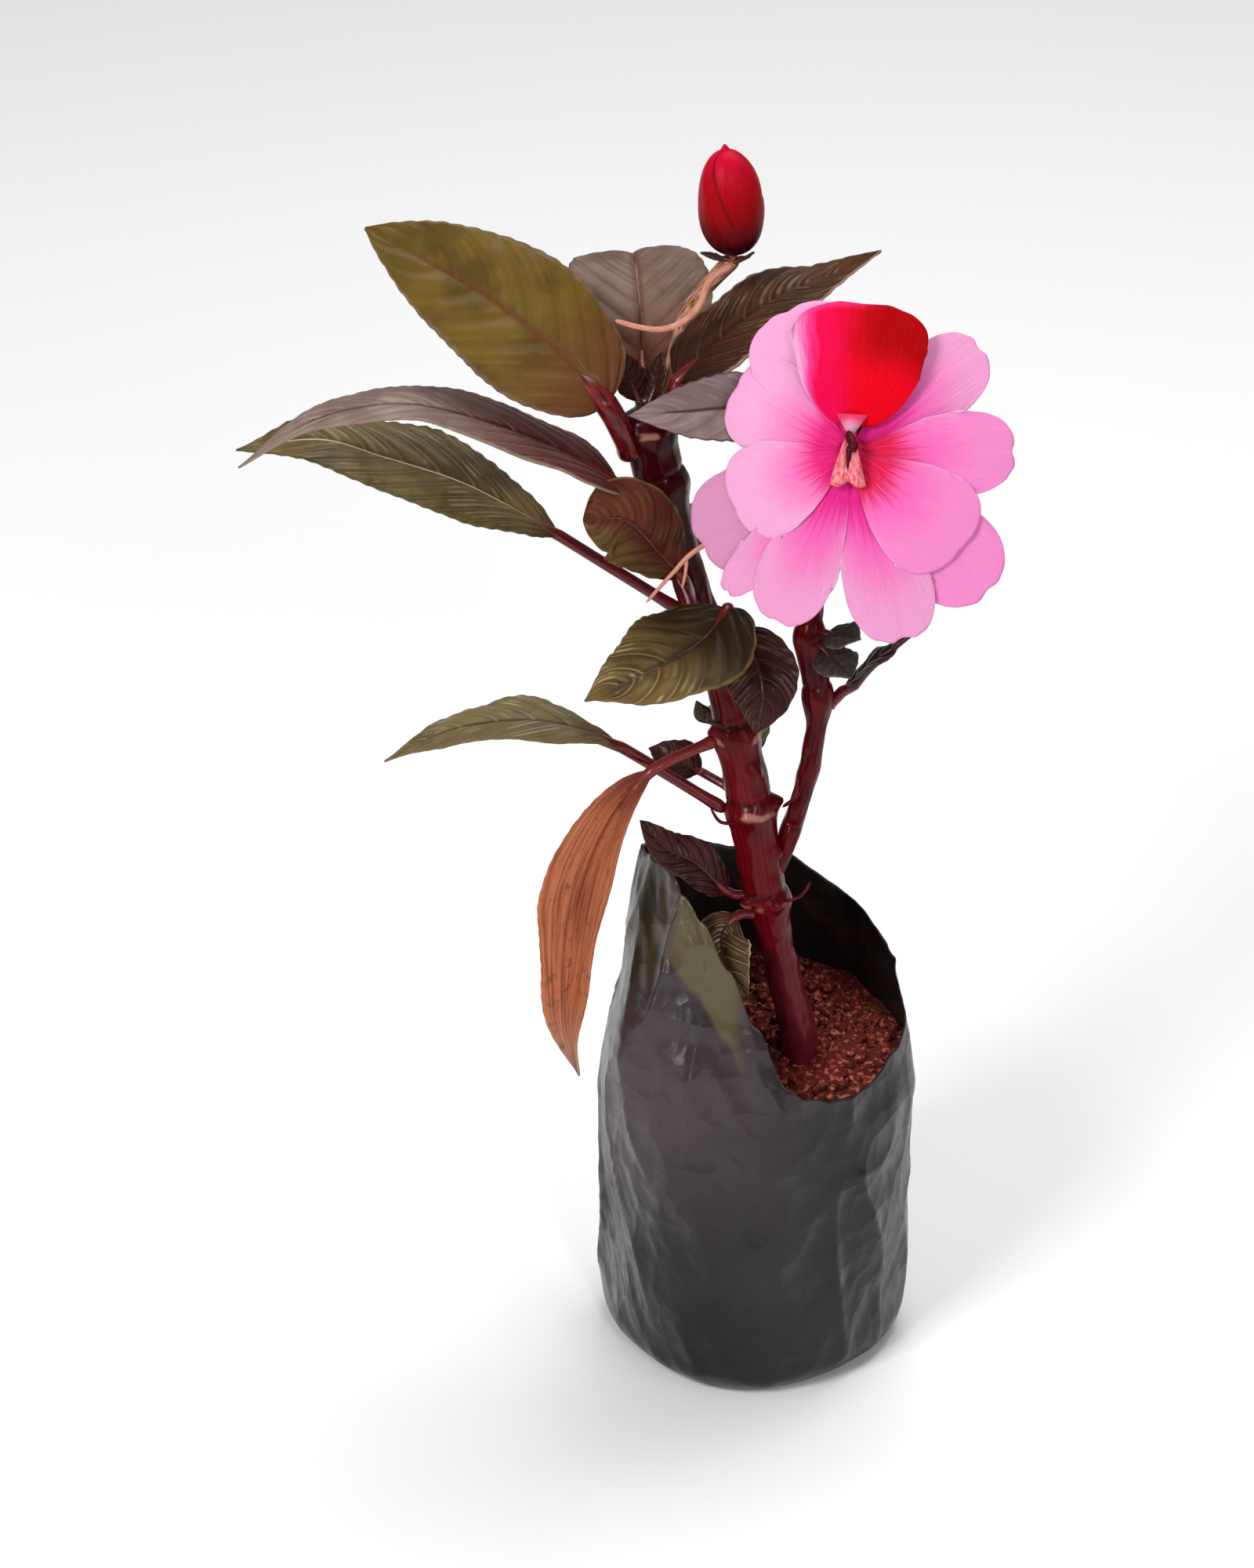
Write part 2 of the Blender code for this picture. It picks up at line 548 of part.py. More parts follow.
def make_flower(materials, collection):
    """The open double flower: pink petals round a hub, the red upper petal, the column and the stalk with its spur."""
    frame = flower_frame()
    centre, right, up, front = frame
    hub = bmesh.new()
    bmesh.ops.create_uvsphere(hub, u_segments=12, v_segments=8, radius=HUB_RADIUS)
    bmesh.ops.scale(hub, vec=(1, 1, 0.8), verts=hub.verts)
    turn = Matrix((right, up, front)).transposed().to_4x4()
    bmesh.ops.transform(hub, matrix=Matrix.Translation(centre - front * 1.6 * MM) @ turn, verts=hub.verts)
    meshes = [finish_mesh("hub", hub)]
    for k, (direction, length, width, behind, curl) in enumerate(PINK_PETALS):
        rings = petal_rings(frame, direction, length * MM, width * MM, behind * MM, curl, start=1 * MM)
        meshes.append(loft(f"petal_{k}", rings, lower_half=len(COLUMNS)))
    joined("flower_petals", meshes, materials["petal"], collection, solver="MANIFOLD")

    direction, length, width, behind, curl = STANDARD_PETAL
    rings = petal_rings(frame, direction, length * MM, width * MM, behind * MM, curl, start=5 * MM, claw=STANDARD_CLAW)
    standard = loft("flower_red_petal", rings, lower_half=len(COLUMNS))
    add_object("flower_red_petal", standard, materials["red_petal"], collection)

    column = [centre + front * (HUB_RADIUS * 0.8 - 1.6 * MM + FIT_GAP + s * MM) - up * (s * s * 0.12 * MM) for s in (0, 1.5, 3.0, 4.2)]
    add_object("flower_column", tube("flower_column", column, [1.9 * MM, 2.1 * MM, 1.7 * MM, 0.9 * MM], 8),
               materials["column"], collection)

    back = centre - front * (1.6 * MM + HUB_RADIUS * 0.8 + FIT_GAP)
    foot = point_at_height(SIDE_SHOOT, 187) + Vector((0, -1, 0)) * (side_radius(187 * MM) + FIT_GAP + 0.9 * MM)
    bend = (foot + back) / 2 + Vector((0, 2, -1)) * MM
    stalk_line = curve_through([p / MM for p in (foot, bend, back - front * 4 * MM, back - front * 0.8 * MM)], 3)
    spur_line = curve_through([(back - front * 3 * MM) / MM, (8, -12.5, 194), (-3, -14.5, 189), (-12.5, -16, 184), (-17, -17, 179.5),
                               (-22, -17.5, 173.5)], 3)
    cup = [back - front * d * MM for d in (0, 1.6, 4.0, 6.0)]
    meshes = [
        tube("flower_stalk", stalk_line, [1.0 * MM] * len(stalk_line), 8),
        tube("spur", spur_line, [(0.85 - 0.45 * k / len(spur_line)) * MM for k in range(len(spur_line))], 8),
        tube("spur_cup", cup, [2.6 * MM, 2.4 * MM, 1.7 * MM, 0.9 * MM], 10),
    ]
    joined("flower_stalk", meshes, materials["stalk"], collection)


def make_bud(materials, collection):
    """The closed bud, wrapped by petals that overlap in a slight spiral, on its hooked stalk."""
    turn = Matrix.Rotation(math.radians(-BUD_LEAN), 4, "Y")
    bud = bmesh.new()
    bmesh.ops.create_uvsphere(bud, u_segments=20, v_segments=14, radius=1)
    for vert in bud.verts:
        around = math.atan2(vert.co.y, vert.co.x)
        z = vert.co.z
        wrap = 1 + 0.04 * math.sin(3 * around + 2.4 * z) * (1 - z * z)
        reach = (1 - min(abs(z), 1) ** BUD_BLUNTNESS) ** 0.5 * (1 - BUD_TAPER * z) * wrap * BUD_RADIUS
        vert.co = Vector((math.cos(around) * reach, math.sin(around) * reach, z * BUD_HALF_LENGTH))
    bmesh.ops.transform(bud, matrix=Matrix.Translation(BUD_CENTRE) @ turn, verts=bud.verts)
    add_object("bud", finish_mesh("bud", bud), materials["bud"], collection)

    foot = BUD_CENTRE + turn.to_3x3() @ Vector((0, 0, -BUD_HALF_LENGTH - FIT_GAP - 0.9 * MM))
    stalk_foot = point_at_height(MAIN_STEM, 204) + Vector((0.75, 0.66, 0)) * (main_radius(204 * MM) + FIT_GAP + 1.0 * MM)
    stalk_line = curve_through([stalk_foot / MM, (-17.6, 9.5, 212), (-15.4, 13, 219.5), (-11.8, 12, 225.5), foot / MM], 3)
    spur_line = curve_through([(foot - Vector((0.4, 0, 1.6)) * MM) / MM, (-10.6, 3.4, 231), (-12.5, 0.6, 227), (-15.5, -0.8, 224.2),
                               (-19.5, -1, 222.6), (-24, -1, 223), (-28.5, -1, 224.3)], 3)
    meshes = [
        tube("bud_stalk", stalk_line, [1.45 * MM] * (len(stalk_line) - 1) + [1.7 * MM], 10),
        tube("bud_spur", spur_line, [(0.85 - 0.4 * k / len(spur_line)) * MM for k in range(len(spur_line))], 8),
    ]
    for k, (top, width) in enumerate((((-2.5, 4, 236.5), 2.4), ((-12.5, 6, 235.5), 2.4))):
        base = foot / MM - Vector((0, 0, 1.2))
        points = (base, base.lerp(Vector(top), 0.3), base.lerp(Vector(top), 0.65), Vector(top))
        meshes.append(leaf_mesh(f"sepal_{k}", points, width, (0, 0, 1), stalk=0.6, stations=6, wave=0))
    joined("bud_stalk", meshes, materials["stalk"], collection)


clear_scene()
PLANT = bpy.data.collections.new("busy_lizzie")
bpy.context.scene.collection.children.link(PLANT)
FINISHES = {
    "leaf": make_material("bronze leaf", (0.12, 0.085, 0.03), 0.45),
    "leaf_top_left": make_material("olive leaf", (0.14, 0.10, 0.03), 0.42),
    "leaf_withered": make_material("withered leaf", (0.42, 0.13, 0.05), 0.75),
    "petal": make_material("pink petal", (0.88, 0.38, 0.68), 0.5),
    "red_petal": make_material("red petal", (0.78, 0.01, 0.03), 0.45),
    "column": make_material("flower column", (0.62, 0.28, 0.24), 0.5),
    "bud": make_material("crimson bud", (0.45, 0.0, 0.03), 0.4),
    "stalk": make_material("pale stalk", (0.48, 0.22, 0.16), 0.5),
}
make_bag(make_material("black film", (0.035, 0.034, 0.038), 0.42), PLANT)
make_soil(make_material("red soil", (0.16, 0.05, 0.03), 0.95), PLANT)
make_stems(make_material("red stem", (0.13, 0.012, 0.018), 0.35), PLANT)
make_leaves(FINISHES, PLANT)
make_flower(FINISHES, PLANT)
make_bud(FINISHES, PLANT)
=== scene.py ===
"""A New Guinea busy lizzie in its nursery bag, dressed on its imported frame.

The sleeve and its soil come first, then the stems, the leaves, the flower and the bud, in the order in which
they stand on each other. Sizes are millimetres times MM. X runs to the right of the front view, and Y away
from the viewer.
"""

import random
from math import copysign, cos, degrees, exp, pi, radians, sin, sqrt

import bpy
from mathutils import Matrix, Vector
from mathutils.noise import noise, voronoi


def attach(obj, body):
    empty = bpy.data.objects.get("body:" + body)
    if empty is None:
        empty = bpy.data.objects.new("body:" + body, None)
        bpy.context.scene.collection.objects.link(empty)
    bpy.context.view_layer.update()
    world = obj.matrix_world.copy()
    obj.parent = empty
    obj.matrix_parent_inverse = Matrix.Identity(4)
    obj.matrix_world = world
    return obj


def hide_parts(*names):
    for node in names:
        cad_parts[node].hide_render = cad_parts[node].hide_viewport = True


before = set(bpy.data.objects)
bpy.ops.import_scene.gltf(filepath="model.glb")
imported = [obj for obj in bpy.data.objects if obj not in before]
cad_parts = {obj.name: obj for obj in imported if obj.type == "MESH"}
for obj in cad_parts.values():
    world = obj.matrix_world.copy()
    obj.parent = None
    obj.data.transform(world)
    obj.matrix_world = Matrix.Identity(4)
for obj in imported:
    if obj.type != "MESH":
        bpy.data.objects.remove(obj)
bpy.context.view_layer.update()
bpy.ops.object.select_all(action="DESELECT")

# The sleeve: a black polythene seedling bag, 102 mm wide when flat, so about 65 mm across when it is full.
# It is one thin film, shut and rounded at the base, slack and creased, with an edge that slants from a peak
# on the left down to the soil in front on the right.
MM = 0.001
BAG_RADIUS = 32 * MM
BASE_CORNER = 6 * MM
SOIL_LEVEL = 70 * MM
FILM_WALL = 0.3 * MM
# Direction in degrees, and the height of the edge there in millimetres.
RIM_HEIGHTS = (
    (0, 79), (45, 88), (90, 97), (135, 104), (170, 109), (195, 112), (215, 112), (230, 110), (243, 106),
    (257, 97), (270, 86.5), (282, 74), (290, 70), (303, 68.5), (318, 69), (335, 73), (350, 77), (360, 79),
)
# What a paint keeps of the light of its tone, because the lamps are a little brighter than white needs.
PAINT_LIGHT = 0.82


def tone(*levels):
    """A colour as it looks under the lamps, 0 to 255, as the light values that a shader takes."""
    light = [(c / 255 / 12.92) if c <= 10 else ((c / 255 + 0.055) / 1.055) ** 2.4 for c in levels]
    return tuple(PAINT_LIGHT * value for value in light)


class Sum:
    """A socket of a material. Plain sums on it add Math nodes, and node() adds any other kind."""

    def __init__(self, tree, socket=None):
        self.tree, self.socket = tree, socket

    def node(self, kind, settings=None, inputs=None, output=0):
        """Adds a node with its settings and the values or links of its sockets, and gives one output."""
        made = self.tree.nodes.new("ShaderNode" + kind)
        for name, value in (settings or {}).items():
            setattr(made, name, value)
        for name, value in (inputs or {}).items():
            entry = made.inputs[name]
            if isinstance(value, Sum):
                self.tree.links.new(value.socket, entry)
            else:
                entry.default_value = (*value, 1) if entry.type == "RGBA" else value
        return Sum(self.tree, made.outputs[output])

    def maths(self, operation, *terms):
        """A Math node on these terms."""
        return self.node("Math", {"operation": operation}, dict(enumerate(terms)))

    def part(self, axis):
        """One coordinate of a place."""
        return self.node("SeparateXYZ", None, {0: self}, axis)

    def __add__(self, other):
        return self.maths("ADD", self, other)

    __radd__ = __add__

    def __sub__(self, other):
        return self.maths("SUBTRACT", self, other)

    def __rsub__(self, other):
        return self.maths("SUBTRACT", other, self)

    def __mul__(self, other):
        return self.maths("MULTIPLY", self, other)

    __rmul__ = __mul__

    def __pow__(self, other):
        return self.maths("POWER", self, other)

    def __abs__(self):
        return self.maths("ABSOLUTE", self)

    def rise(self, low, high):
        """0 below low and 1 above high, with a soft step between them. It falls where low is the larger."""
        limits = {"Value": self, "From Min": low, "From Max": high}
        return self.node("MapRange", {"interpolation_type": "SMOOTHSTEP"}, limits)

    def grain(self, scale, detail=3, stretch=(1, 1, 1)):
        """Cloudy noise on these coordinates."""
        spots = self.node("Mapping", None, {"Vector": self, "Scale": stretch})
        return self.node("TexNoise", None, {"Vector": spots, "Scale": scale, "Detail": detail})

    def cells(self, scale):
        """Distance in a pattern of cells on these coordinates."""
        return self.node("TexVoronoi", None, {"Vector": self, "Scale": scale})


def blend(colour, *layers):
    """The first colour, turning into each next one by the share after it. Plain colours are tone levels."""
    for second, share in zip(layers[::2], layers[1::2]):
        sides = [tone(*side) if isinstance(side, tuple) else side for side in (colour, second)]
        colour = share.node("Mix", {"data_type": "RGBA"}, {0: share, 6: sides[0], 7: sides[1]}, 2)
    return colour


def new_finish(name):
    """An empty material, its object coordinates, and its UV map: as a place, and as across and along."""
    material = bpy.data.materials.new(name)
    material.use_nodes = True
    start = Sum(material.node_tree)
    uv = start.node("TexCoord", None, None, "UV")
    return material, start.node("TexCoord", None, None, "Object"), uv, uv.part("X"), uv.part("Y")


def close_finish(material, colour, roughness, height=None, depth=0.2, specular=0.25, coat=(0, 0.03)):
    """Feeds the shader. What changes over the surface is linked, and the rest is set on its own sockets.

    The bump is depth millimetres high, and coat is the weight and the roughness of the clear coat.
    """
    shader = material.node_tree.nodes["Principled BSDF"]
    coating = (("Specular IOR Level", specular), ("Coat Weight", coat[0]), ("Coat Roughness", coat[1]))
    for name, value in (("Base Color", colour), ("Roughness", roughness), *coating):
        if isinstance(value, Sum):
            material.node_tree.links.new(value.socket, shader.inputs[name])
        else:
            shader.inputs[name].default_value = value
    if height:
        bump = height.node("Bump", None, {"Height": height, "Distance": depth * MM, "Strength": 1.0})
        material.node_tree.links.new(bump.socket, shader.inputs["Normal"])
    return material


def laid(name, across, along, place, finishes, wall=0.0, closed=False):
    """A piece that starts as a flat grid, whose points go to place(u, v), and whose UV map stays on it.

    A wall turns a sheet into a leaf or film with its last finish on the back. A closed piece is rolled up by
    place: its seam and its ends are merged and its faces turned outwards.
    """
    bpy.ops.mesh.primitive_grid_add(x_subdivisions=across, y_subdivisions=along, size=2)
    piece = bpy.context.object
    piece.name = piece.data.name = name
    for vert in piece.data.vertices:
        vert.co = place((vert.co.x + 1) / 2, (vert.co.y + 1) / 2)
    for finish in finishes:
        piece.data.materials.append(finish)
    bpy.ops.object.mode_set(mode="EDIT")
    bpy.ops.mesh.select_all(action="SELECT")
    bpy.ops.mesh.remove_doubles(threshold=0.001 * MM)
    if closed:
        bpy.ops.mesh.normals_make_consistent(inside=False)
    bpy.ops.object.mode_set(mode="OBJECT")
    if wall:
        shell = piece.modifiers.new("wall", "SOLIDIFY")
        shell.thickness = wall
        shell.offset = -1
        shell.use_even_offset = False
        shell.material_offset = len(finishes) - 1
        bpy.ops.object.modifier_apply(modifier=shell.name)
    bpy.ops.object.shade_smooth()
    return piece


def set_in(piece, node):
    """Fixes a finished piece to the plant in place of a solid of the frame."""
    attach(piece, "root")
    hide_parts(node)


def rim_height(azimuth):
    """Height of the sleeve's edge in a direction: right 0, back 90, left 180, front 270 degrees."""
    azimuth = azimuth % 360
    for (low, low_rim), (high, high_rim) in zip(RIM_HEIGHTS, RIM_HEIGHTS[1:]):
        if low <= azimuth <= high:
            share = (azimuth - low) / (high - low)
            share = share * share * (3 - 2 * share)
            return (low_rim + (high_rim - low_rim) * share) * MM


def film_point(azimuth, z, inset=0.0):
    """A point on the sleeve's outside: a nearly round tube with slack folds, creases and wrinkles."""
    turn = radians(azimuth)
    height = z / MM
    slack = 0.9 * sin(3 * turn + height / 22) + 0.6 * sin(5 * turn - height / 15 + 1.0)
    squareness = 0.9 * cos(4 * turn + 0.5) * max(0, 1 - height / 60)
    belly = 1.2 * sin(pi * min(height / 70, 1))
    radius = BAG_RADIUS / MM - 1.6 + belly + slack * min(1, height / 25) + squareness
    above = max(0, height - SOIL_LEVEL / MM - 2)
    leaning = 0.5 + 0.5 * cos(turn - radians(185))
    radius -= above * (0.05 + 0.16 * leaning)
    ring = Vector((cos(turn), sin(turn), 0))
    long_fold = 1 - abs(2 * noise(ring * 2.6 + Vector((height / 90, 0, height / 48))))
    cross_fold = 1 - abs(2 * noise(ring * 2.1 + Vector((height / 26, -height / 34, 3.3))))
    wrinkle = 1 - abs(2 * noise(ring * 6.5 + Vector((0, height / 9, height / 7 + 8))))
    crease = max(long_fold, 0) ** 2.5 - 0.5 + 0.5 * max(cross_fold, 0) ** 3 - 0.2
    crease += 0.10 * max(wrinkle, 0) ** 2
    crease += 1.5 * noise(ring * 1.8 + Vector((0, 0, height / 24)))
    radius += crease * min(1, height / 14) - inset / MM
    return Vector((radius * cos(turn), radius * sin(turn), height)) * MM


def film_profile(azimuth, v, top, inset=0.0, floor=0.0):
    """The sleeve's section as v goes from 0 to 1: its base, its rounded corner, and its side up to top."""
    base_end, corner_end = 0.1, 0.18
    side_foot = floor + BASE_CORNER
    if v < base_end:
        corner = film_point(azimuth, side_foot, inset + BASE_CORNER)
        return Vector((corner.x * v / base_end, corner.y * v / base_end, floor))
    if v < corner_end:
        lean = pi / 2 * (v - base_end) / (corner_end - base_end)
        rise = BASE_CORNER * (1 - cos(lean))
        return film_point(azimuth, floor + rise, inset + BASE_CORNER * (1 - sin(lean)))
    share = (v - corner_end) / (1 - corner_end)
    return film_point(azimuth, side_foot + (top - side_foot) * share, inset)


def sleeve_place(u, v):
    """The sleeve's outside, with a slightly uneven cut edge."""
    azimuth = 360 * u
    turn = radians(azimuth)
    cut = Vector((cos(turn) * 9, sin(turn) * 9, 4))
    ragged = 0.5 * noise(cut) + 0.25 * sin(9 * turn)
    return film_profile(azimuth, v, rim_height(azimuth) + ragged * MM)


HOLES = 9
HOLE_HEIGHT = 58 * MM


def film_finish():
    """Black polythene: a slate bloom on the front and left, part dust and part painted light, fading low down
    into painted shade; olive near the peak, soil stains, and punched holes painted near-black as shade.
    """
    material, places, _, across, along = new_finish("dusty black film with painted light")
    cloud = places.grain(30, 3).rise(0.32, 0.68)
    fine = places.grain(420, 5)
    high = places.part("Z")
    # The front and left of the sleeve, where the bloom of dust and painted light lies.
    front = across.rise(0.36, 0.56) * across.rise(0.88, 0.70)
    patch = places.grain(34, 3) * 0.02
    uneven = high + patch
    olive = uneven.rise(0.100, 0.104) * uneven.rise(0.124, 0.117)
    olive = olive * across.rise(0.47, 0.52) * across.rise(0.64, 0.59)
    band = (along + across * 0.3).rise(1.07, 1.09) * across.rise(0.615, 0.645) * across.rise(0.745, 0.715)
    dirt = places.grain(130, 5).rise(0.56, 0.68) * high.rise(0.055, 0.085)
    turn = across * HOLES + 0.06
    beside = (turn.maths("FRACT", turn) - 0.5) * (2 * pi * BAG_RADIUS / HOLES)
    above = (high - HOLE_HEIGHT) * 0.5
    away = (beside**2 + above**2) ** 0.5
    colour = blend(
        (14, 11, 12), (27, 23, 26), cloud,
        # Lighter slate bloom: part dust, part painted light on the lit front and left. It is kept off the
        # lower film, which is left dark as painted shade.
        (71, 58, 62), front * high.rise(0.016, 0.075) * (cloud * 0.5 + 0.4),
        (20, 16, 16), fine.rise(0.54, 0.75) * 0.3,
        (58, 50, 18), olive * 0.85,
        (92, 84, 52), band * (0.6 + patch * 20),
        (84, 44, 36), dirt * 0.4,
        # Punched holes painted as near-black spots: painted shade in the openings, which are not cut through
        # the film.
        (6, 5, 5), away.rise(0.0012, 0.0008) * across.rise(0.62, 0.61),
    )
    roughness = 0.17 + cloud * 0.12 + fine * 0.10
    height = places.grain(70, 3, (1, 1, 0.5)) * 0.5 + places.cells(60) + places.cells(150) * 0.3 + fine * 0.02
    return close_finish(material, colour, roughness, height, 2.2, specular=0.34)


def lining_finish():
    """The inside of the film: nearly black as painted shade inside the sleeve, without the outside's lighter
    bloom, with a few smears of soil.
    """
    material, places, *_ = new_finish("black film inside")
    smear = places.grain(120, 5)
    colour = blend((22, 17, 18), (66, 34, 28), smear.rise(0.54, 0.72) * 0.7)
    return close_finish(material, colour, 0.36 + smear * 0.2, smear, 0.3, specular=0.4)


bag = laid("sleeve", 260, 150, sleeve_place, [film_finish(), lining_finish()], wall=FILM_WALL)
set_in(bag, "bag")

# The soil: red, crumbly loam that fills the sleeve to 40 mm below its peak. A fine uneven top is heaped at
# the stem, and loose crumbs of many sizes lie on it and against the film.


def soil_height(x, y):
    """Height of the soil's surface, without its grain."""
    spot = Vector((x, y, 0)) / MM
    lumps = noise(spot / 9) * 1.5 + noise(spot / 4 + Vector((7, 3, 1))) * 0.6
    heap = 3.0 * exp(-(((spot.x - 9) / 12) ** 2) - (((spot.y + 5) / 12) ** 2))
    return SOIL_LEVEL + (lumps + heap - 1.8 + spot.y * 0.07) * MM


def soil_place(u, v):
    """The packed soil, from the middle of its base round its side to the middle of its top."""
    azimuth = 360 * u
    inset = FILM_WALL + 0.1 * MM
    edge = min(SOIL_LEVEL - 1 * MM, rim_height(azimuth) - 2 * MM)
    side_end = 0.4
    if v < side_end:
        return film_profile(azimuth, v / side_end, edge, inset, inset)
    share = 1 - (v - side_end) / (1 - side_end)
    spot = film_point(azimuth, edge, inset) * share
    spot.z = 0
    grit = 0.55 * noise(spot / MM / 1.7) + 0.4 * noise(spot / MM / 0.8)
    near = voronoi(spot / MM / 2.4)[0][0]
    top = min(soil_height(spot.x, spot.y), rim_height(azimuth) - 1.2 * MM)
    spot.z = top + (grit + 0.7 * (0.5 - near)) * MM * min(1, 8 * (1 - share) + 0.2)
    return spot


def soil_finish():
    """Red loam: rust crumbs, darker damp hollows and a few pale specks that are part grains and part painted
    highlights.
    """
    material, places, *_ = new_finish("red loam")
    crumb = places.cells(650)
    patch = places.grain(70, 4)
    colour = blend(
        (88, 22, 14), (166, 58, 42), crumb.rise(0.5, 0.05),
        (56, 20, 12), patch.rise(0.5, 0.72) * 0.8,
        # Pale specks: part pale grains, part painted highlights.
        (204, 110, 86), places.grain(700, 2).rise(0.56, 0.66) * 0.7,
    )
    height = crumb * -0.7 + places.grain(1500, 4) * 0.5
    return close_finish(material, colour, 0.86 + patch * 0.1, height, 0.5)


def join(name, pieces):
    """Joins finished pieces to one, each with its own finish."""
    bpy.ops.object.select_all(action="DESELECT")
    for piece in pieces:
        piece.select_set(True)
    bpy.context.view_layer.objects.active = pieces[0]
    bpy.ops.object.join()
    pieces[0].name = pieces[0].data.name = name
    return pieces[0]


loam = soil_finish()
set_in(laid("loam", 220, 170, soil_place, [loam], closed=True), "soil")

CRUMBS = 620
CRUMB_SIZES = (0.35, 0.45, 0.6, 0.75, 1.0, 1.3)
dice = random.Random(11)
shapes = []
for k in range(7):
    bpy.ops.mesh.primitive_ico_sphere_add(subdivisions=2 if k < 3 else 1, radius=1)
    crumb = bpy.context.object
    crumb.data.materials.append(loam)
    for vert in crumb.data.vertices:
        vert.co *= 1 + 0.45 * noise(vert.co * 1.3 + Vector((k * 5, 0, 0)))
        vert.co.z *= 0.75
    bpy.ops.object.shade_smooth()
    shapes.append(crumb)
crumbs = []
for k in range(CRUMBS):
    turn, share = dice.uniform(0, 2 * pi), sqrt(dice.random()) * 0.97
    reach = film_point(degrees(turn), SOIL_LEVEL - 3 * MM, FILM_WALL + 1.2 * MM) * share
    size = dice.choice(CRUMB_SIZES) * MM
    top = min(soil_height(reach.x, reach.y), rim_height(degrees(turn)) - 1.2 * MM)
    shape = shapes[dice.randrange(3) if size > 0.9 * MM else dice.randrange(3, 7)]
    place = Matrix.Translation((reach.x, reach.y, top + size * 0.35))
    place = place @ Matrix.Rotation(dice.uniform(0, 6), 4, "Z")
    place = place @ Matrix.Rotation(dice.uniform(-0.7, 0.7), 4, "X") @ Matrix.Scale(size, 4)
    copy = bpy.data.objects.new("crumb", shape.data.copy())
    copy.data.transform(place)
    bpy.context.scene.collection.objects.link(copy)
    crumbs.append(copy)
set_in(join("soil_crumbs", crumbs), "soil")
for shape in shapes:
    bpy.data.objects.remove(shape)

# The stems: one fleshy crimson main stem that leans to the left, and a thinner side shoot from its lowest
# node. Each is a smooth glossy stalk with swollen nodes, ringed by the scars of leaves that it has dropped.
MAIN_STEM = (
    (9.6, -6.6, 48), (9.0, -6.6, 70), (5.4, -6.0, 86), (1.8, -5.2, 102), (-1.6, -4.2, 122), (-4.6, -3.0, 138),
    (-8.0, -1.6, 152), (-13.4, -0.2, 168), (-18.0, 0, 184), (-21.0, 0, 196), (-23.2, 0, 206),
)
# Height on the main stem, and its radius there.
MAIN_RADII = (
    (40, 3.9), (70, 3.8), (92, 3.2), (106, 4.3), (128, 4.3), (142, 3.7), (160, 3.3), (174, 3.3), (188, 4.4),
    (199, 5.0), (210, 3.0),
)
MAIN_NODES = (102, 122, 138, 158, 190, 202)
SIDE_SHOOT = (
    (1.0, -5.0, 104), (4.6, -3.8, 112), (8.0, -2.0, 123), (10.4, -0.6, 134), (11.2, 0, 145), (9.4, 1.2, 158),
    (11.2, 3.0, 178), (13.0, 4.0, 196),
)
SIDE_NODES = (145, 158, 192)


def curve_through(points, per_span):
    """Points on a smooth line through the given ones, in metres."""
    spots = [Vector(p) * MM for p in points]
    padded = [2 * spots[0] - spots[1], *spots, 2 * spots[-1] - spots[-2]]
    line = []
    for a, b, c, d in zip(padded, padded[1:], padded[2:], padded[3:]):
        for k in range(per_span):
            t = k / per_span
            bow = 2 * a - 5 * b + 4 * c - d
            line.append(0.5 * ((2 * b) + (c - a) * t + bow * t * t + (3 * b - 3 * c + d - a) * t**3))
    line.append(spots[-1])
    return line


# How far a stalk is closed at its end and one, two and three points on from it.
END_ROUNDING = (0, 0.7, 0.93, 1)


def tube(name, line, radius, around, finish):
    """A closed stalk along a line. radius(k, turn) is its radius at point k in a direction round it."""
    last = len(line) - 1
    frames = []
    across = Vector((0, 0, 1)) if abs((line[1] - line[0]).normalized().x) > 0.8 else Vector((1, 0, 0))
    for k in range(len(line)):
        along = (line[min(k + 1, last)] - line[max(k - 1, 0)]).normalized()
        across = (across - along * across.dot(along)).normalized()
        frames.append((across, along.cross(across)))

    def place(u, v):
        k = round(v * last)
        turn = 2 * pi * u
        outwards = frames[k][0] * cos(turn) + frames[k][1] * sin(turn)
        return line[k] + outwards * (radius(k, turn) * END_ROUNDING[min(k, last - k, 3)])

    return laid(name, around, last, place, [finish], closed=True)


def node_swell(z, nodes):
    """Extra thickness in millimetres at height z: a collar at each node, and a fine ring pinched in above."""
    height = z / MM
    collar = max(exp(-(((height - node) / 3.0) ** 2)) for node in nodes)
    ring = sum(exp(-(((height - node - 3.2) / 0.5) ** 2)) for node in nodes)
    return 0.9 * min(collar, 1) - 0.25 * ring


def main_radius(z):
    """Radius of the main stem at height z."""
    height = min(max(z / MM, 41), 209)
    for (low, low_radius), (high, high_radius) in zip(MAIN_RADII, MAIN_RADII[1:]):
        if low <= height <= high:
            radius = low_radius + (high_radius - low_radius) * (height - low) / (high - low)
            return (radius + node_swell(z, MAIN_NODES)) * MM


def side_radius(z):
    """Radius of the side shoot at height z."""
    return (2.0 + 0.7 * exp(-(((z / MM - 152) / 9) ** 2)) + node_swell(z, SIDE_NODES)) * MM


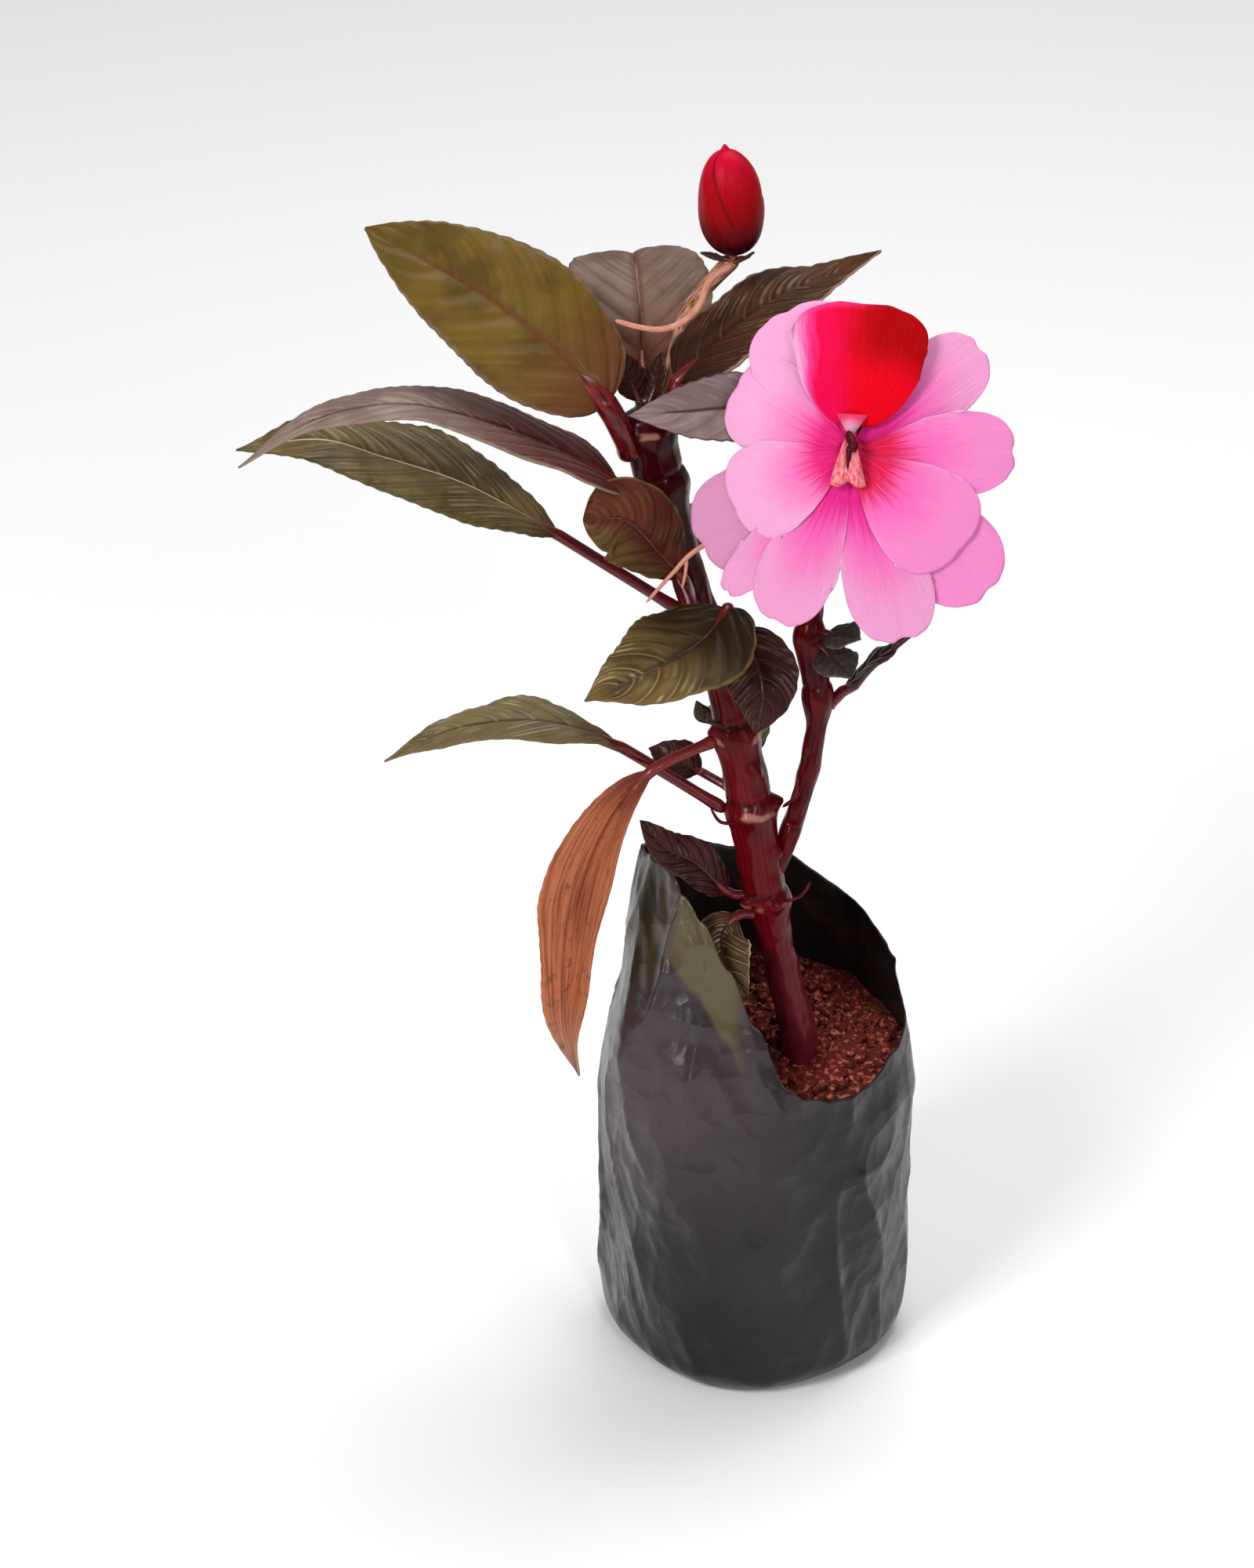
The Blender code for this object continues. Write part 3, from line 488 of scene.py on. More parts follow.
def stem_finish():
    """Crimson skin, darker towards the top: lengthwise streaks, paler scars, painted shade in the pinched
    ring above each node, and duller where it is woody.
    """
    material, places, uv, *_ = new_finish("crimson stem")
    streak = uv.grain(6, 4, (9, 1.4, 1))
    high = places.part("Z")
    colour = blend(
        (84, 4, 12), (116, 10, 24), streak.rise(0.38, 0.72),
        (46, 3, 6), high.rise(0.150, 0.190) * 0.8,
        (46, 4, 8), places.grain(90, 2).rise(0.50, 0.72) * 0.5,
        (112, 38, 48), high.rise(0.104, 0.080) * (streak * 0.6 + 0.3),
    )
    for node in MAIN_NODES:
        scar = abs(high - (node + 0.6) * MM + places.grain(120, 2) * 0.004 - 0.002).rise(0.0009, 0.0003)
        scar = scar * places.grain(150, 2).rise(0.50, 0.60) * 0.8
        # A dark line painted in the pinched ring above each node: painted shade in the groove.
        ring = abs(high - (node + 3.2) * MM).rise(0.0012, 0.0002) * 0.5
        colour = blend(colour, (176, 120, 104), scar, (30, 4, 5), ring)
    height = streak * 0.4 + places.grain(200, 3) * 1.2
    roughness = 0.22 + streak * 0.10
    return close_finish(material, colour, roughness, height, 0.16, specular=0.08, coat=(0.12, 0.05))


# Stubs of dropped leaves and dry flower stalks on the main stem: height, direction round it in radians, size.
STUBS = (
    (140, 3.4, 1.2), (139.5, 0.4, 1.5), (131, 5.4, 0.8), (123, 0.2, 1.7), (122, 2.6, 1.4), (122.5, 4.6, 1.0),
    (113, 5.9, 1.1), (104, 3.9, 1.5), (103, 5.2, 1.1), (103, 2.2, 1.4), (158, 5.0, 1.1), (160, 2.4, 1.0),
    (190, 4.4, 0.9), (96, 5.0, 0.5),
)


def stem_of(name, points, per_span, radius_at, around, finish, stubs=()):
    """One stem with shallow lengthwise ribs, uneven collars and small stubs."""
    line = curve_through(points, per_span)

    def radius(k, turn):
        z = line[k].z / MM
        wide = radius_at(line[k].z) * (1 + 0.025 * sin(4 * turn + 0.6) + 0.012 * sin(9 * turn))
        wide += 0.35 * MM * noise(Vector((cos(turn) * 1.4, sin(turn) * 1.4, z / 4)))
        for height, way, size in stubs:
            gap = (turn - way + pi) % (2 * pi) - pi
            wide += size * MM * exp(-(((z - height) / 1.3) ** 2) - (gap / 0.34) ** 2)
        return wide

    return tube(name, line, radius, around, finish)


def plain_skin(name, light, dark, roughness):
    """A plant skin of two close tones in streaks along it."""
    material, places, uv, *_ = new_finish(name)
    mottle = places.grain(260, 4)
    streak = uv.grain(5, 3, (6, 2, 1)).rise(0.35, 0.66)
    colour = blend(dark, light, streak, dark, mottle.rise(0.52, 0.72) * 0.5)
    roughness = roughness + mottle * 0.12
    return close_finish(material, colour, roughness, mottle, 0.15, specular=0.08, coat=(0.08, 0.08))


DRY_SPINES = (
    ((4.5, -4.5, 123), (7.0, -5.5, 126), (7.6, -5.5, 131)),
    ((4.8, -5.0, 120), (7.6, -6, 119.5), (8.4, -6, 121.5)),
    ((4.6, -7.0, 103), (8.5, -8, 105), (10.5, -8, 108.5)),
    ((-4.0, -7.5, 121), (-7.5, -9, 122), (-9.6, -9.5, 125.5)),
)
DRIED_BUD = ((-5.5, -4, 141), (-8.8, -6, 142), (-11.2, -6.6, 144.5), (-12.5, -7, 147.6))
DRIED_BUD_RADII = (
    0.7, 0.65, 0.6, 0.6, 0.6, 0.6, 0.55, 0.55, 0.5, 0.5, 0.55, 0.7, 0.95, 1.25, 1.5, 1.65, 1.7, 1.6, 1.45,
    1.25, 1.0, 0.8, 0.6, 0.5, 0.4,
)


def dried_bud_radius(k, turn):
    """Radius of the dried bud on its thin stalk, with five shallow ribs."""
    return DRIED_BUD_RADII[k] * MM * (1 + 0.08 * sin(5 * turn))


crimson = stem_finish()
shoot_skin = plain_skin("side shoot skin", (108, 8, 16), (54, 3, 7), 0.22)
pieces = [
    stem_of("stems", MAIN_STEM, 30, main_radius, 64, crimson, STUBS),
    stem_of("side_shoot", SIDE_SHOOT, 26, side_radius, 40, shoot_skin),
]
for points in DRY_SPINES:
    line = curve_through(points, 6)
    pieces.append(tube("dry_spine", line, lambda k, turn: (0.45 - 0.015 * k) * MM, 8, crimson))
dried_skin = plain_skin("dried bud", (82, 66, 48), (34, 26, 20), 0.55)
pieces.append(tube("dried_bud", curve_through(DRIED_BUD, 8), dried_bud_radius, 16, dried_skin))
set_in(join("crimson_stems", pieces), "stems")

# The leaves: each is one thin fleshy blade on its own crimson stalk, bronze to olive above and wine red
# below. The rib runs on from the stalk, side veins sink into the quilted upper side, and fine teeth point to
# the tip.
VEIN_SLANT = 0.34
BLADE_WALL = 0.42 * MM
TOOTH_SPACING = 2.9 * MM


def blade_width(t, foot, tip):
    """Half width of a leaf as a share of its widest. A larger foot or tip draws that end out thinner."""
    widest = foot / (foot + tip)
    return t**foot * (1 - t) ** tip / (widest**foot * (1 - widest) ** tip)


def point_at_height(path, z):
    """Where a stem's middle line passes the height z, in millimetres."""
    for low, high in zip(path, path[1:]):
        if low[2] <= z <= high[2]:
            return Vector(low).lerp(Vector(high), (z - low[2]) / (high[2] - low[2])) * MM


def even_steps(line, steps):
    """Points at even distances along a line."""
    run = [0.0]
    for a, b in zip(line, line[1:]):
        run.append(run[-1] + (b - a).length)
    spots, k = [], 1
    for step in range(steps + 1):
        wanted = run[-1] * step / steps
        while k < len(run) - 1 and run[k] < wanted:
            k += 1
        spots.append(line[k - 1].lerp(line[k], (wanted - run[k - 1]) / (run[k] - run[k - 1])))
    return spots


def leaf(name, points, width, face, finishes, stalk=1.15, fold=14, arch=0.22, wave=0.5, shape=(0.85, 1.1),
         veins=8, quilt=0.3, teeth=0.55, steps=120, columns=26):
    """A leaf with its stalk. The first two points are the ends of the stalk and the others lie along the rib.

    Width, stalk, wave, quilt and teeth are in millimetres, fold is the angle of each half above flat, and
    arch bows the halves down. Finishes are those of the upper side, the underside and the stalk.
    """
    foot = 24
    line = curve_through(points, foot)
    stem_part, blade_part = even_steps(line[:foot + 1], foot), even_steps(line[foot:], steps)
    spots = stem_part[:-1] + blade_part
    frames = []
    for k, spot in enumerate(spots):
        along = (spots[min(k + 4, len(spots) - 1)] - spots[max(k - 4, 0)]).normalized()
        side = along.cross(Vector(face)).normalized()
        frames.append((spot, side, side.cross(along)))
    length = sum((b - a).length for a, b in zip(blade_part, blade_part[1:]))
    count = max(7, round(length / TOOTH_SPACING))
    seed = Vector((len(name) * 3.7, width * 1.3, stalk * 9))

    def place(u, v):
        x, t = 2 * u - 1, v
        centre, side, up = frames[foot + round(v * steps)]
        half = width / 2 * MM * blade_width(min(max(t, 0.001), 0.9985), *shape)
        saw = (t * count + (0.4 if x > 0 else 0)) % 1
        reach = half * x
        full = min(1, half / (5 * MM))
        tooth = teeth * MM * (saw**1.5 - 0.45) * abs(x) ** 8 * full
        reach += copysign(tooth, x) if 0.05 < t < 0.97 else 0
        order = (t - VEIN_SLANT * abs(x) ** 1.35 * (1 - 0.4 * t)) * veins + (0.4 if x > 0 else 0)
        bulge = (abs(sin(pi * order)) ** 0.6 - 0.55) * quilt * MM
        bulge *= min(1, 4 * abs(x)) * (1 - abs(x) ** 4) * full
        angle = radians(fold)
        lift = abs(reach) * sin(angle) - arch * half * x * x
        lift += wave * MM * x * x * sin(15 * t + (1.6 if x > 0 else 0)) * min(1, half / (6 * MM))
        lift += 0.35 * MM * abs(x) ** 3 * noise(seed + Vector((x * 2, t * 14, 0))) * full
        lift += bulge - 0.3 * MM * exp(-((reach / (0.7 * MM)) ** 2)) * full
        return centre + side * (reach * cos(angle)) + up * lift

    blade = laid(name, columns, steps, place, finishes[:2], wall=BLADE_WALL)
    rib = []
    for k, (centre, _, up) in enumerate(frames):
        sunk = min(1, max(0, (k - foot) / 16)) * (1 - 0.72 * max(0, k - foot) / steps)
        rib.append(centre - up * (1.05 * stalk * MM * sunk))

    def thickness(k, turn):
        share = (k - foot) / steps
        flare = 1 + 0.35 * exp(-((k / 3.5) ** 2))
        thin = flare if share < 0 else max(1 - 0.82 * share**0.8, 0.16)
        return stalk * MM * thin * (1 + 0.05 * sin(3 * turn))

    return join(name, [blade, tube(name + "_rib", rib, thickness, 14, finishes[2])])


def vein_lines(across, along, veins):
    """How far a spot is from the rib, 0 to 1, and how near it is to a side vein, 1 on the vein itself."""
    x = abs(across * 2 - 1)
    right = across.maths("GREATER_THAN", across, 0.5)
    order = (along - x**1.35 * (1 - along * 0.4) * VEIN_SLANT) * veins + right * 0.4
    return x, abs(order.maths("FRACT", order) - 0.5) * 2


def leaf_finish(name, blade, vein_shade_and_mottle, margin, foot, streak, streaks=0.3, veins=8, gloss=0.36, foot_end=0.3,
                highlights_from=0.0, vein_shade_share=0.42, left=None):
    """The upper side of a leaf: sunken dark side veins whose darkness is partly painted shade, paler cushions
    and vein lines that are painted highlights, a coloured foot and a thin margin.
    """
    material, places, _, across, along = new_finish(name)
    x, near = vein_lines(across, along, veins)
    hollow = near.rise(0.35, 1.0)
    mottle = places.grain(90, 4)
    reach = along.rise(highlights_from - 0.01, highlights_from + 0.3) * streaks
    # Pale cushions between the veins: painted highlights.
    cushion_highlight = near.rise(0.62, 0.40) * near.rise(0.1, 0.35) * places.grain(170, 3).rise(0.46, 0.62)
    colour = blend(blade, left, across.rise(0.48, 0.2) * 0.85) if left else blade
    colour = blend(
        # The vein hollows take the darker tone, partly the veins' own and partly painted shade. The same tone
        # also makes random mottle.
        colour, vein_shade_and_mottle, hollow * vein_shade_share,
        vein_shade_and_mottle, mottle.rise(0.38, 0.68) * 0.75,
        streak, cushion_highlight * reach,
        foot, (along + mottle * 0.12).rise(foot_end + 0.06, foot_end * 0.3) * 0.9,
        foot, x.rise(0.10, 0.03) * along.rise(0.97, 0.6) * 0.7,
        # Pale lines along the veins: painted highlights.
        streak, near.rise(0.86, 0.97) * reach * 0.5,
        margin, x.rise(0.93, 0.99) * 0.8,
    )
    height = hollow * -0.6 + mottle * 0.4 + places.grain(420, 4) * 0.35
    roughness = gloss + mottle * 0.16
    return close_finish(material, colour, roughness, height, 0.26, specular=0.09, coat=(0.03, 0.12))


def under_finish(name, colour, vein, shade):
    """The underside: dull wine red or brown with raised paler veins and darker patches."""
    material, places, _, across, along = new_finish(name)
    near = vein_lines(across, along, 8)[1]
    mottle = places.grain(140, 4)
    tint = blend(colour, vein, near.rise(0.8, 0.97) * 0.6, shade, mottle.rise(0.45, 0.72) * 0.6)
    return close_finish(material, tint, 0.5 + mottle * 0.12, near.rise(0.6, 1.0) * 0.6 + mottle * 0.3, 0.3)


wine = under_finish("wine red underside", (96, 42, 40), (140, 78, 66), (72, 30, 28))
dull = under_finish("brown underside", (92, 70, 54), (134, 106, 84), (69, 51, 39))


def stalk_finish(name, light, dark, rib, gloss=0.22):
    """A leaf's stalk, glossy and streaked, that takes the colour of the blade where it runs on as the rib."""
    material, _, uv, _, along = new_finish(name)
    streak = uv.grain(4, 3, (5, 5, 1))
    colour = blend(dark, light, streak.rise(0.35, 0.66), rib, along.rise(0.17, 0.40))
    return close_finish(material, colour, gloss + streak * 0.14, streak, 0.15, coat=(0.3, 0.08))


stalk_red = stalk_finish("leaf stalk", (130, 24, 28), (70, 9, 13), (72, 32, 22))
stalk_pale = stalk_finish("pale ribbed stalk", (112, 26, 30), (74, 12, 16), (196, 176, 140))
stalk_dry = stalk_finish("withered stalk", (136, 34, 34), (96, 20, 24), (150, 78, 50), 0.4)


def withered_finish():
    """A hanging dead leaf: orange brown, papery, with darker lengthwise folds and a pinkish tip."""
    material, places, uv, _, along = new_finish("withered leaf")
    folds = uv.grain(3, 4, (7, 1.2, 1))
    colour = blend(
        (190, 110, 72), (142, 72, 44), folds.rise(0.42, 0.66),
        (206, 160, 138), along.rise(0.72, 0.98) * 0.7,
        (112, 36, 32), along.rise(0.22, 0.02) * 0.8,
        (98, 50, 34), places.grain(420, 4).rise(0.58, 0.72) * 0.6,
    )
    return close_finish(material, colour, 0.66, folds + places.grain(500, 4) * 0.4, 0.6)


# The upper sides: tones of the blade, its hollows with their painted shade and its mottle, its margin, its
# foot and its streaks, which are painted highlights, then how strong the streaks are, the number of side
# veins, the roughness, where the foot's colour ends and where streaks start.
LOOKS = {
    "olive": (
        (110, 88, 32), (76, 56, 20), (132, 106, 84), (104, 62, 34), (146, 122, 66), 0.15, 7, 0.34, 0.38),
    "grey_brown": (
        (132, 108, 94), (92, 70, 58), (128, 106, 92), (98, 52, 32), (150, 130, 114), 0.3, 9, 0.36, 0.4),
    "dark_brown": (
        (82, 50, 30), (42, 21, 10), (176, 142, 122), (52, 24, 16), (140, 114, 92), 0.5, 8, 0.34, 0.42),
    # This look's grey-silver blade and pale streaks are a painted sheen of reflected light on a bronze leaf.
    "silver_sheen": (
        (156, 136, 126), (104, 82, 74), (150, 130, 112), (76, 4, 6), (186, 168, 156), 0.4, 9, 0.3, 0.74),
    "dark_olive": (
        (122, 104, 64), (62, 52, 30), (92, 80, 48), (72, 46, 30), (168, 152, 120), 0.5, 9, 0.26, 0.12),
    "spoon": ((96, 44, 28), (60, 20, 12), (104, 90, 50), (60, 12, 8), (104, 92, 52), 0.3, 6),
    "grey_purple": ((146, 124, 122), (108, 84, 84), (70, 44, 42), (90, 50, 50), (160, 140, 138), 0.3, 6),
    # This look's pale streaks along the veins towards the tip are painted highlights.
    "vein_highlit": (
        (122, 98, 52), (58, 40, 18), (120, 100, 62), (34, 20, 10), (176, 158, 112), 0.9, 7, 0.3, 0.75, 0.4),
    "pale_olive": ((134, 118, 80), (94, 80, 48), (120, 100, 64), (100, 66, 44), (184, 172, 138), 0.7, 7),
    "burgundy": ((66, 30, 28), (36, 12, 12), (84, 60, 52), (58, 10, 12), (120, 96, 84), 0.4, 6, 0.26),
    # This look's cream margin and pale streaks are painted highlights, not spots.
    "cream_highlit": ((92, 70, 44), (50, 34, 20), (196, 178, 128), (80, 36, 26), (196, 182, 140), 0.9, 6),
    "bronze": ((108, 84, 48), (64, 46, 28), (120, 98, 72), (92, 36, 30), (146, 124, 88), 0.4),
    "bract": ((78, 70, 66), (42, 34, 34), (110, 98, 90), (60, 24, 26), (130, 120, 112), 0.4, 5),
}
# How much painted shade each look puts in its vein hollows.
VEIN_SHADE_SHARES = {"olive": 0.18, "grey_brown": 0.3, "spoon": 0.3}
SECOND_TONES = {"spoon": (104, 84, 42)}
BLADES = {
    look: leaf_finish(look + " leaf", *values, vein_shade_share=VEIN_SHADE_SHARES.get(look, 0.42), left=SECOND_TONES.get(look))
    for look, values in LOOKS.items()
}
BLADES["withered"] = withered_finish()

# Name, stem and height of its node, points from the top of its stalk along its rib to its tip in millimetres,
# width, where its upper side faces, how that looks, and what sets the leaf apart.
LEAVES = (
    ("top_left", "main", 197, ((-30, -5.5, 209), (-38, -3.5, 217.8), (-53, 1, 228.4), (-75.5, 5, 240)),
     29, (0.3, -0.72, 0.62), "olive", dict(stalk=2.3, shape=(0.5, 0.86), quilt=0.35, veins=7)),
    ("top_back", "main", 204, ((-23.5, 8.5, 208), (-24.5, 20, 219.5), (-26, 33, 224.5), (-28, 47, 216)),
     29, (0, -0.35, 0.94), "grey_brown", dict(stalk=1.5, shape=(0.6, 1.0), veins=9)),
    ("top_right", "main", 202, ((-16.5, -1, 212), (-9, 2, 219.5), (1.5, 6, 226.5), (11.5, 9, 229.8),
        (21.5, 12, 234)),
     22, (-0.45, -0.25, 0.85), "dark_brown", dict(stalk=1.5, shape=(0.5, 1.15), teeth=0.8)),
    ("upper_left", "main", 185, ((-27.5, -7.6, 193.6), (-38.5, -9.6, 201.5), (-52.5, -12.5, 208.5),
        (-68, -16.5, 213.5), (-84, -20, 211.5), (-98, -23, 203)),
     21, (0.1, -0.05, 1), "silver_sheen", dict(shape=(0.33, 1.1), veins=9)),
    ("lower_left", "main", 163, ((-39, -3, 180.5), (-48, -4, 187), (-58.5, -5, 193), (-72, -6, 198),
        (-84.5, -7, 202), (-100, -8, 200)),
     23, (0.2, -0.25, 0.93), "dark_olive", dict(veins=9, teeth=0.9, quilt=0.4)),
    ("front_spoon", "main", 166, ((-15, -10.5, 175), (-19.5, -12.5, 181.5), (-26, -14, 189), (-34, -14, 189)),
     17, (-0.1, -0.9, 0.4), "spoon", dict(shape=(1.0, 0.6), wave=0.8, veins=6)),
    ("inner_left", "side", 193, ((7.5, -4.5, 206.5), (-3, -10.9, 211.2), (-14.5, -15, 212),
        (-25.5, -17.5, 212)),
     13.2, (0, -0.86, 0.5), "grey_purple", dict(veins=6)),
    ("mid_left", "main", 159, ((-6.5, -12, 170), (-11.5, -20, 167), (-20, -28, 165), (-33, -36, 162)),
     25, (-0.1, -0.35, 0.93), "vein_highlit", dict(shape=(0.65, 1.1), veins=7, quilt=0.5)),
    ("mid_front", "main", 153, ((-4.5, -12, 164.5), (-1, -18, 162), (0.5, -22, 156), (-1, -23, 148.5)),
     15, (0.2, -0.8, 0.5), "burgundy", dict(veins=6)),
    ("low_left", "main", 122, ((-27, -6, 136.5), (-35.5, -8, 142), (-46.5, -9, 144), (-60.5, -9, 141.5),
        (-73.5, -8, 134)),
     18, (0.05, 0, 1), "pale_olive", dict(veins=7)),
    ("withered", "main", 138, ((-21, -11, 134), (-28, -13, 124.5), (-32.5, -14, 111), (-35, -14.5, 95.5),
        (-36.8, -14.5, 78.5), (-35.5, -14.5, 66.5)),
     20, (-0.5, -0.8, 0.1), "withered", dict(fold=46, arch=0.1, wave=0.8, quilt=0.15, teeth=0.3)),
    ("base_left", "main", 104, ((-6, -7.5, 105.5), (-12, -10.5, 113.5), (-18, -13.5, 118.5),
        (-23, -14.5, 125)),
     9, (0.1, -0.75, 0.65), "burgundy", dict(stalk=1.0, shape=(0.55, 0.8), veins=6)),
    ("base_front", "main", 101, ((-4, -11, 102), (-7, -15, 100), (-6, -19, 95), (-1.5, -22, 89.5)),
     12, (-0.2, -0.8, 0.5), "cream_highlit", dict(stalk=1.0, veins=6)),
    ("axil", "main", 126, ((-11.5, 0.5, 128), (-16, 2, 130), (-22, 4, 131.5)),
     9, (0.1, -0.6, 0.8), "burgundy", dict(stalk=0.9, veins=5)),
    ("side_right", "side", 143, ((16, 1, 146), (20, 2, 150.5), (24.5, 3, 154), (30, 4, 158)),
     11, (-0.3, 0.2, 0.9), "burgundy", dict(veins=6)),
    ("back_right", "side", 191, ((17.5, 9, 194), (24, 14, 196), (31, 20, 196), (37, 26, 192)),
     17, (0, -0.1, 1), "bronze", {}),
    ("back_mid", "side", 194, ((14, 10, 198), (15.5, 22, 202.5), (17, 36, 202.5), (18.5, 50, 197)),
     22, (0, -0.1, 1), "grey_brown", dict(veins=9)),
    ("back_left", "side", 190, ((10, 9, 192), (4, 18, 194), (-1, 26, 192), (-6, 33, 187)),
     14, (0, -0.1, 1), "bronze", dict(veins=7)),
    ("rear_upper", "main", 168, ((-14.5, 8, 171), (-16.5, 17, 174), (-18.5, 29, 172.5), (-20, 41, 165)),
     15, (0, -0.1, 1), "olive", dict(veins=7)),
    ("rear_lower", "main", 124, ((-2.5, 6, 127), (-3.5, 15, 131.5), (-5.5, 25, 131), (-7.5, 34, 125)),
     12, (0, -0.1, 1), "dark_olive", dict(veins=7)),
)
UNDERSIDES = {"low_left": dull, "withered": BLADES["withered"]}
STALKS = {"lower_left": stalk_pale, "withered": stalk_dry}
for name, stem, z, points, width, face, look, extra in LEAVES:
    path, radius_at = (MAIN_STEM, main_radius) if stem == "main" else (SIDE_SHOOT, side_radius)
    middle = point_at_height(path, z)
    outwards = Vector(points[0]) * MM - middle
    outwards.z = 0
    start = (middle + outwards.normalized() * (radius_at(z * MM) - 0.6 * MM)) / MM
    finishes = (BLADES[look], UNDERSIDES.get(name, wine), STALKS.get(name, stalk_red))
    piece = leaf(name + "_leaf", (start, *points), width, face, finishes, **extra)
    set_in(piece, "leaf_" + name)

# The young leaves and bracts: folded blades at the growing tips and two dark bracts at the side shoot's node,
# soft small blades that grew from the stems and go with them.
# Foot and tip, width, where the upper side faces, and how it looks.
YOUNG_LEAVES = (
    ((-22.8, 0, 203), (-19.8, 3.5, 216), 7, (-0.5, -0.3, 0.5), "burgundy"),
    ((-22.6, 0, 203), (-27.0, 3.5, 216), 8, (0.5, -0.5, 0.5), "burgundy"),
    ((13, 4, 194), (17.5, 7, 203), 5, (-0.5, -0.2, 0.6), "burgundy"),
    ((9.6, 1.2, 158), (17.5, -9, 154), 10, (0.3, -0.6, 0.8), "bract"),
    ((9.8, 1.2, 159), (19, -8, 162), 8, (0.1, -0.5, 0.8), "bract"),
)


def small_leaf(name, foot, top, width, face, look, **extra):
    """A short straight leaf between two points, with its stalk."""
    foot, top = Vector(foot), Vector(top)
    points = (foot, foot.lerp(top, 0.3), foot.lerp(top, 0.65), top)
    return leaf(name, points, width, face, (BLADES[look], wine, stalk_red), **extra)


young = [
    small_leaf(f"young_leaf_{k}", *values, stalk=0.8, veins=5, quilt=0.2, teeth=0.3, steps=40, columns=14)
    for k, values in enumerate(YOUNG_LEAVES)
]
set_in(join("young_leaves", young), "stems")

# The open flower: a double one that faces the viewer, pink petals in two loose rings round a hub, and one
# broad upper petal with a scarlet blotch. Each petal is a thin blade with a narrow claw and a notched end.
FLOWER_CENTRE = Vector((16.0, -22.0, 207.0)) * MM
FRONT = Vector((-0.10, -0.90, 0.40)).normalized()
RIGHT = Vector((0, 0, 1)).cross(FRONT).normalized()
UP = FRONT.cross(RIGHT)
PETAL_WALL = 0.4 * MM
HUB_RADIUS = 3.2 * MM
# Name, direction from the right in degrees, length, width, how far it lies behind the front, curl, and skin.
PINK_PETALS = (
    ("upper_left", 118, 29.5, 21, 2.4, 0.12, "pale"), ("left", 154, 25.3, 18, 1.3, 0.14, "pale"),
    ("lower_left", 207, 24.5, 18, 0.3, 0.14, "pale"), ("right", 4, 30.5, 15, 0.9, 0.12, "rose"),
    ("lower_right", 322, 27.5, 20, 0.1, 0.12, "rose"),
    ("bottom_left", 249, 34.8, 14.5, 1.8, 0.10, "bright"),
    ("bottom_right", 289, 36.5, 16.5, 2.3, 0.10, "bright"),
    ("back_upper_right", 43, 31.0, 14.5, 3.0, 0.10, "bright"),
    ("back_lower_right", 318, 36.5, 18, 3.2, 0.08, "rose"),
    ("back_left", 215, 33.5, 19.5, 3.3, 0.08, "mauve"),
    ("back_bottom", 231, 35.5, 8, 2.6, 0.10, "bright"),
)


def petal(name, direction, length, width, behind, curl, start, finishes, notch=0.02, claw=1.25):
    """A petal, from its claw to its notched end. A low claw value keeps it broad at its foot."""
    angle = radians(direction)
    along = RIGHT * cos(angle) + UP * sin(angle)
    across = along.cross(FRONT)
    seed = Vector((direction * 0.13, length / MM * 0.37, behind / MM))

    def place(u, v):
        x, t = sin(pi / 2 * (2 * u - 1)), v
        spread = 0.16 + 0.84 * sin(pi / 2 * t) ** claw
        half = width / 2 * spread * (1 + 0.05 * noise(seed + Vector((0, t * 3, x))))
        end = 0.72 + 0.28 * max(1 - abs(x) ** 2.2, 0) ** (1 / 2.2) - notch * exp(-((x / 0.2) ** 2))
        end += 0.008 * noise(seed + Vector((x * 5, 0, 0)))
        reach = start + (length - start) * t * end
        share = t * end
        bow = curl * length * (share * (1 - share) * 1.6 - 0.55 * share * share) - 0.05 * half * x * x
        bow -= behind * (0.35 + 0.65 * share)
        ruffle = 0.7 * MM * abs(x) ** 3 * t * noise(seed + Vector((x * 1.5, t * 5, 3)))
        ripple = sin(11 * x + 2 * noise(seed + Vector((x, t * 2, 0))))
        ruffle += 0.10 * MM * ripple * t * (1 - 0.5 * t)
        ruffle -= 0.35 * MM * exp(-((x / 0.12) ** 2)) * t * (1 - t)
        return FLOWER_CENTRE + along * reach + across * (half * x) + FRONT * (bow + ruffle)

    return laid(name, 44, 52, place, finishes, wall=PETAL_WALL)


PETAL_EDGE = (246, 190, 222)


def pink_finish(name, heart, middle, pale, heart_end=0.44, edge=PETAL_EDGE):
    """A pink petal: magenta at its claw, paling outwards in fine rays."""
    material, places, uv, across, along = new_finish(name)
    ray = uv.grain(5, 3, (7, 0.8, 1))
    reach = along + (ray - 0.5) * 0.28
    x = abs(across * 2 - 1)
    colour = blend(
        heart, middle, reach.rise(heart_end * 0.45, heart_end),
        pale, (reach + x * 0.16).rise(heart_end * 0.8, heart_end * 1.9),
        middle, ray.rise(0.50, 0.64) * along.rise(0.98, 0.3) * 0.3,
        edge, x.rise(0.90, 1.0) * along.rise(0.3, 0.8) * 0.5,
    )
    height = ray + places.grain(900, 3) * 0.2
    return close_finish(material, colour, 0.5 + ray * 0.1, height, 0.22, specular=0.15)


PETAL_SKINS = {
    "pale": pink_finish("pale pink petal", (238, 20, 124), (244, 112, 184), (240, 166, 212)),
    "rose": pink_finish("rose petal", (222, 6, 66), (244, 96, 178), (242, 138, 202), 0.46),
    "bright": pink_finish("bright pink petal", (230, 20, 136), (242, 92, 178), (236, 156, 204), 0.5),
    "mauve": pink_finish("mauve petal", (180, 30, 110), (184, 92, 140), (212, 140, 180)),
}
for name, direction, length, width, behind, curl, skin in PINK_PETALS:
    finishes = [PETAL_SKINS[skin], PETAL_SKINS["mauve"]]
    piece = petal("petal_" + name, direction, length * MM, width * MM, behind * MM, curl, 1 * MM, finishes)
    set_in(piece, "flower_petals")

flower_turn = Matrix((RIGHT, UP, FRONT)).transposed()


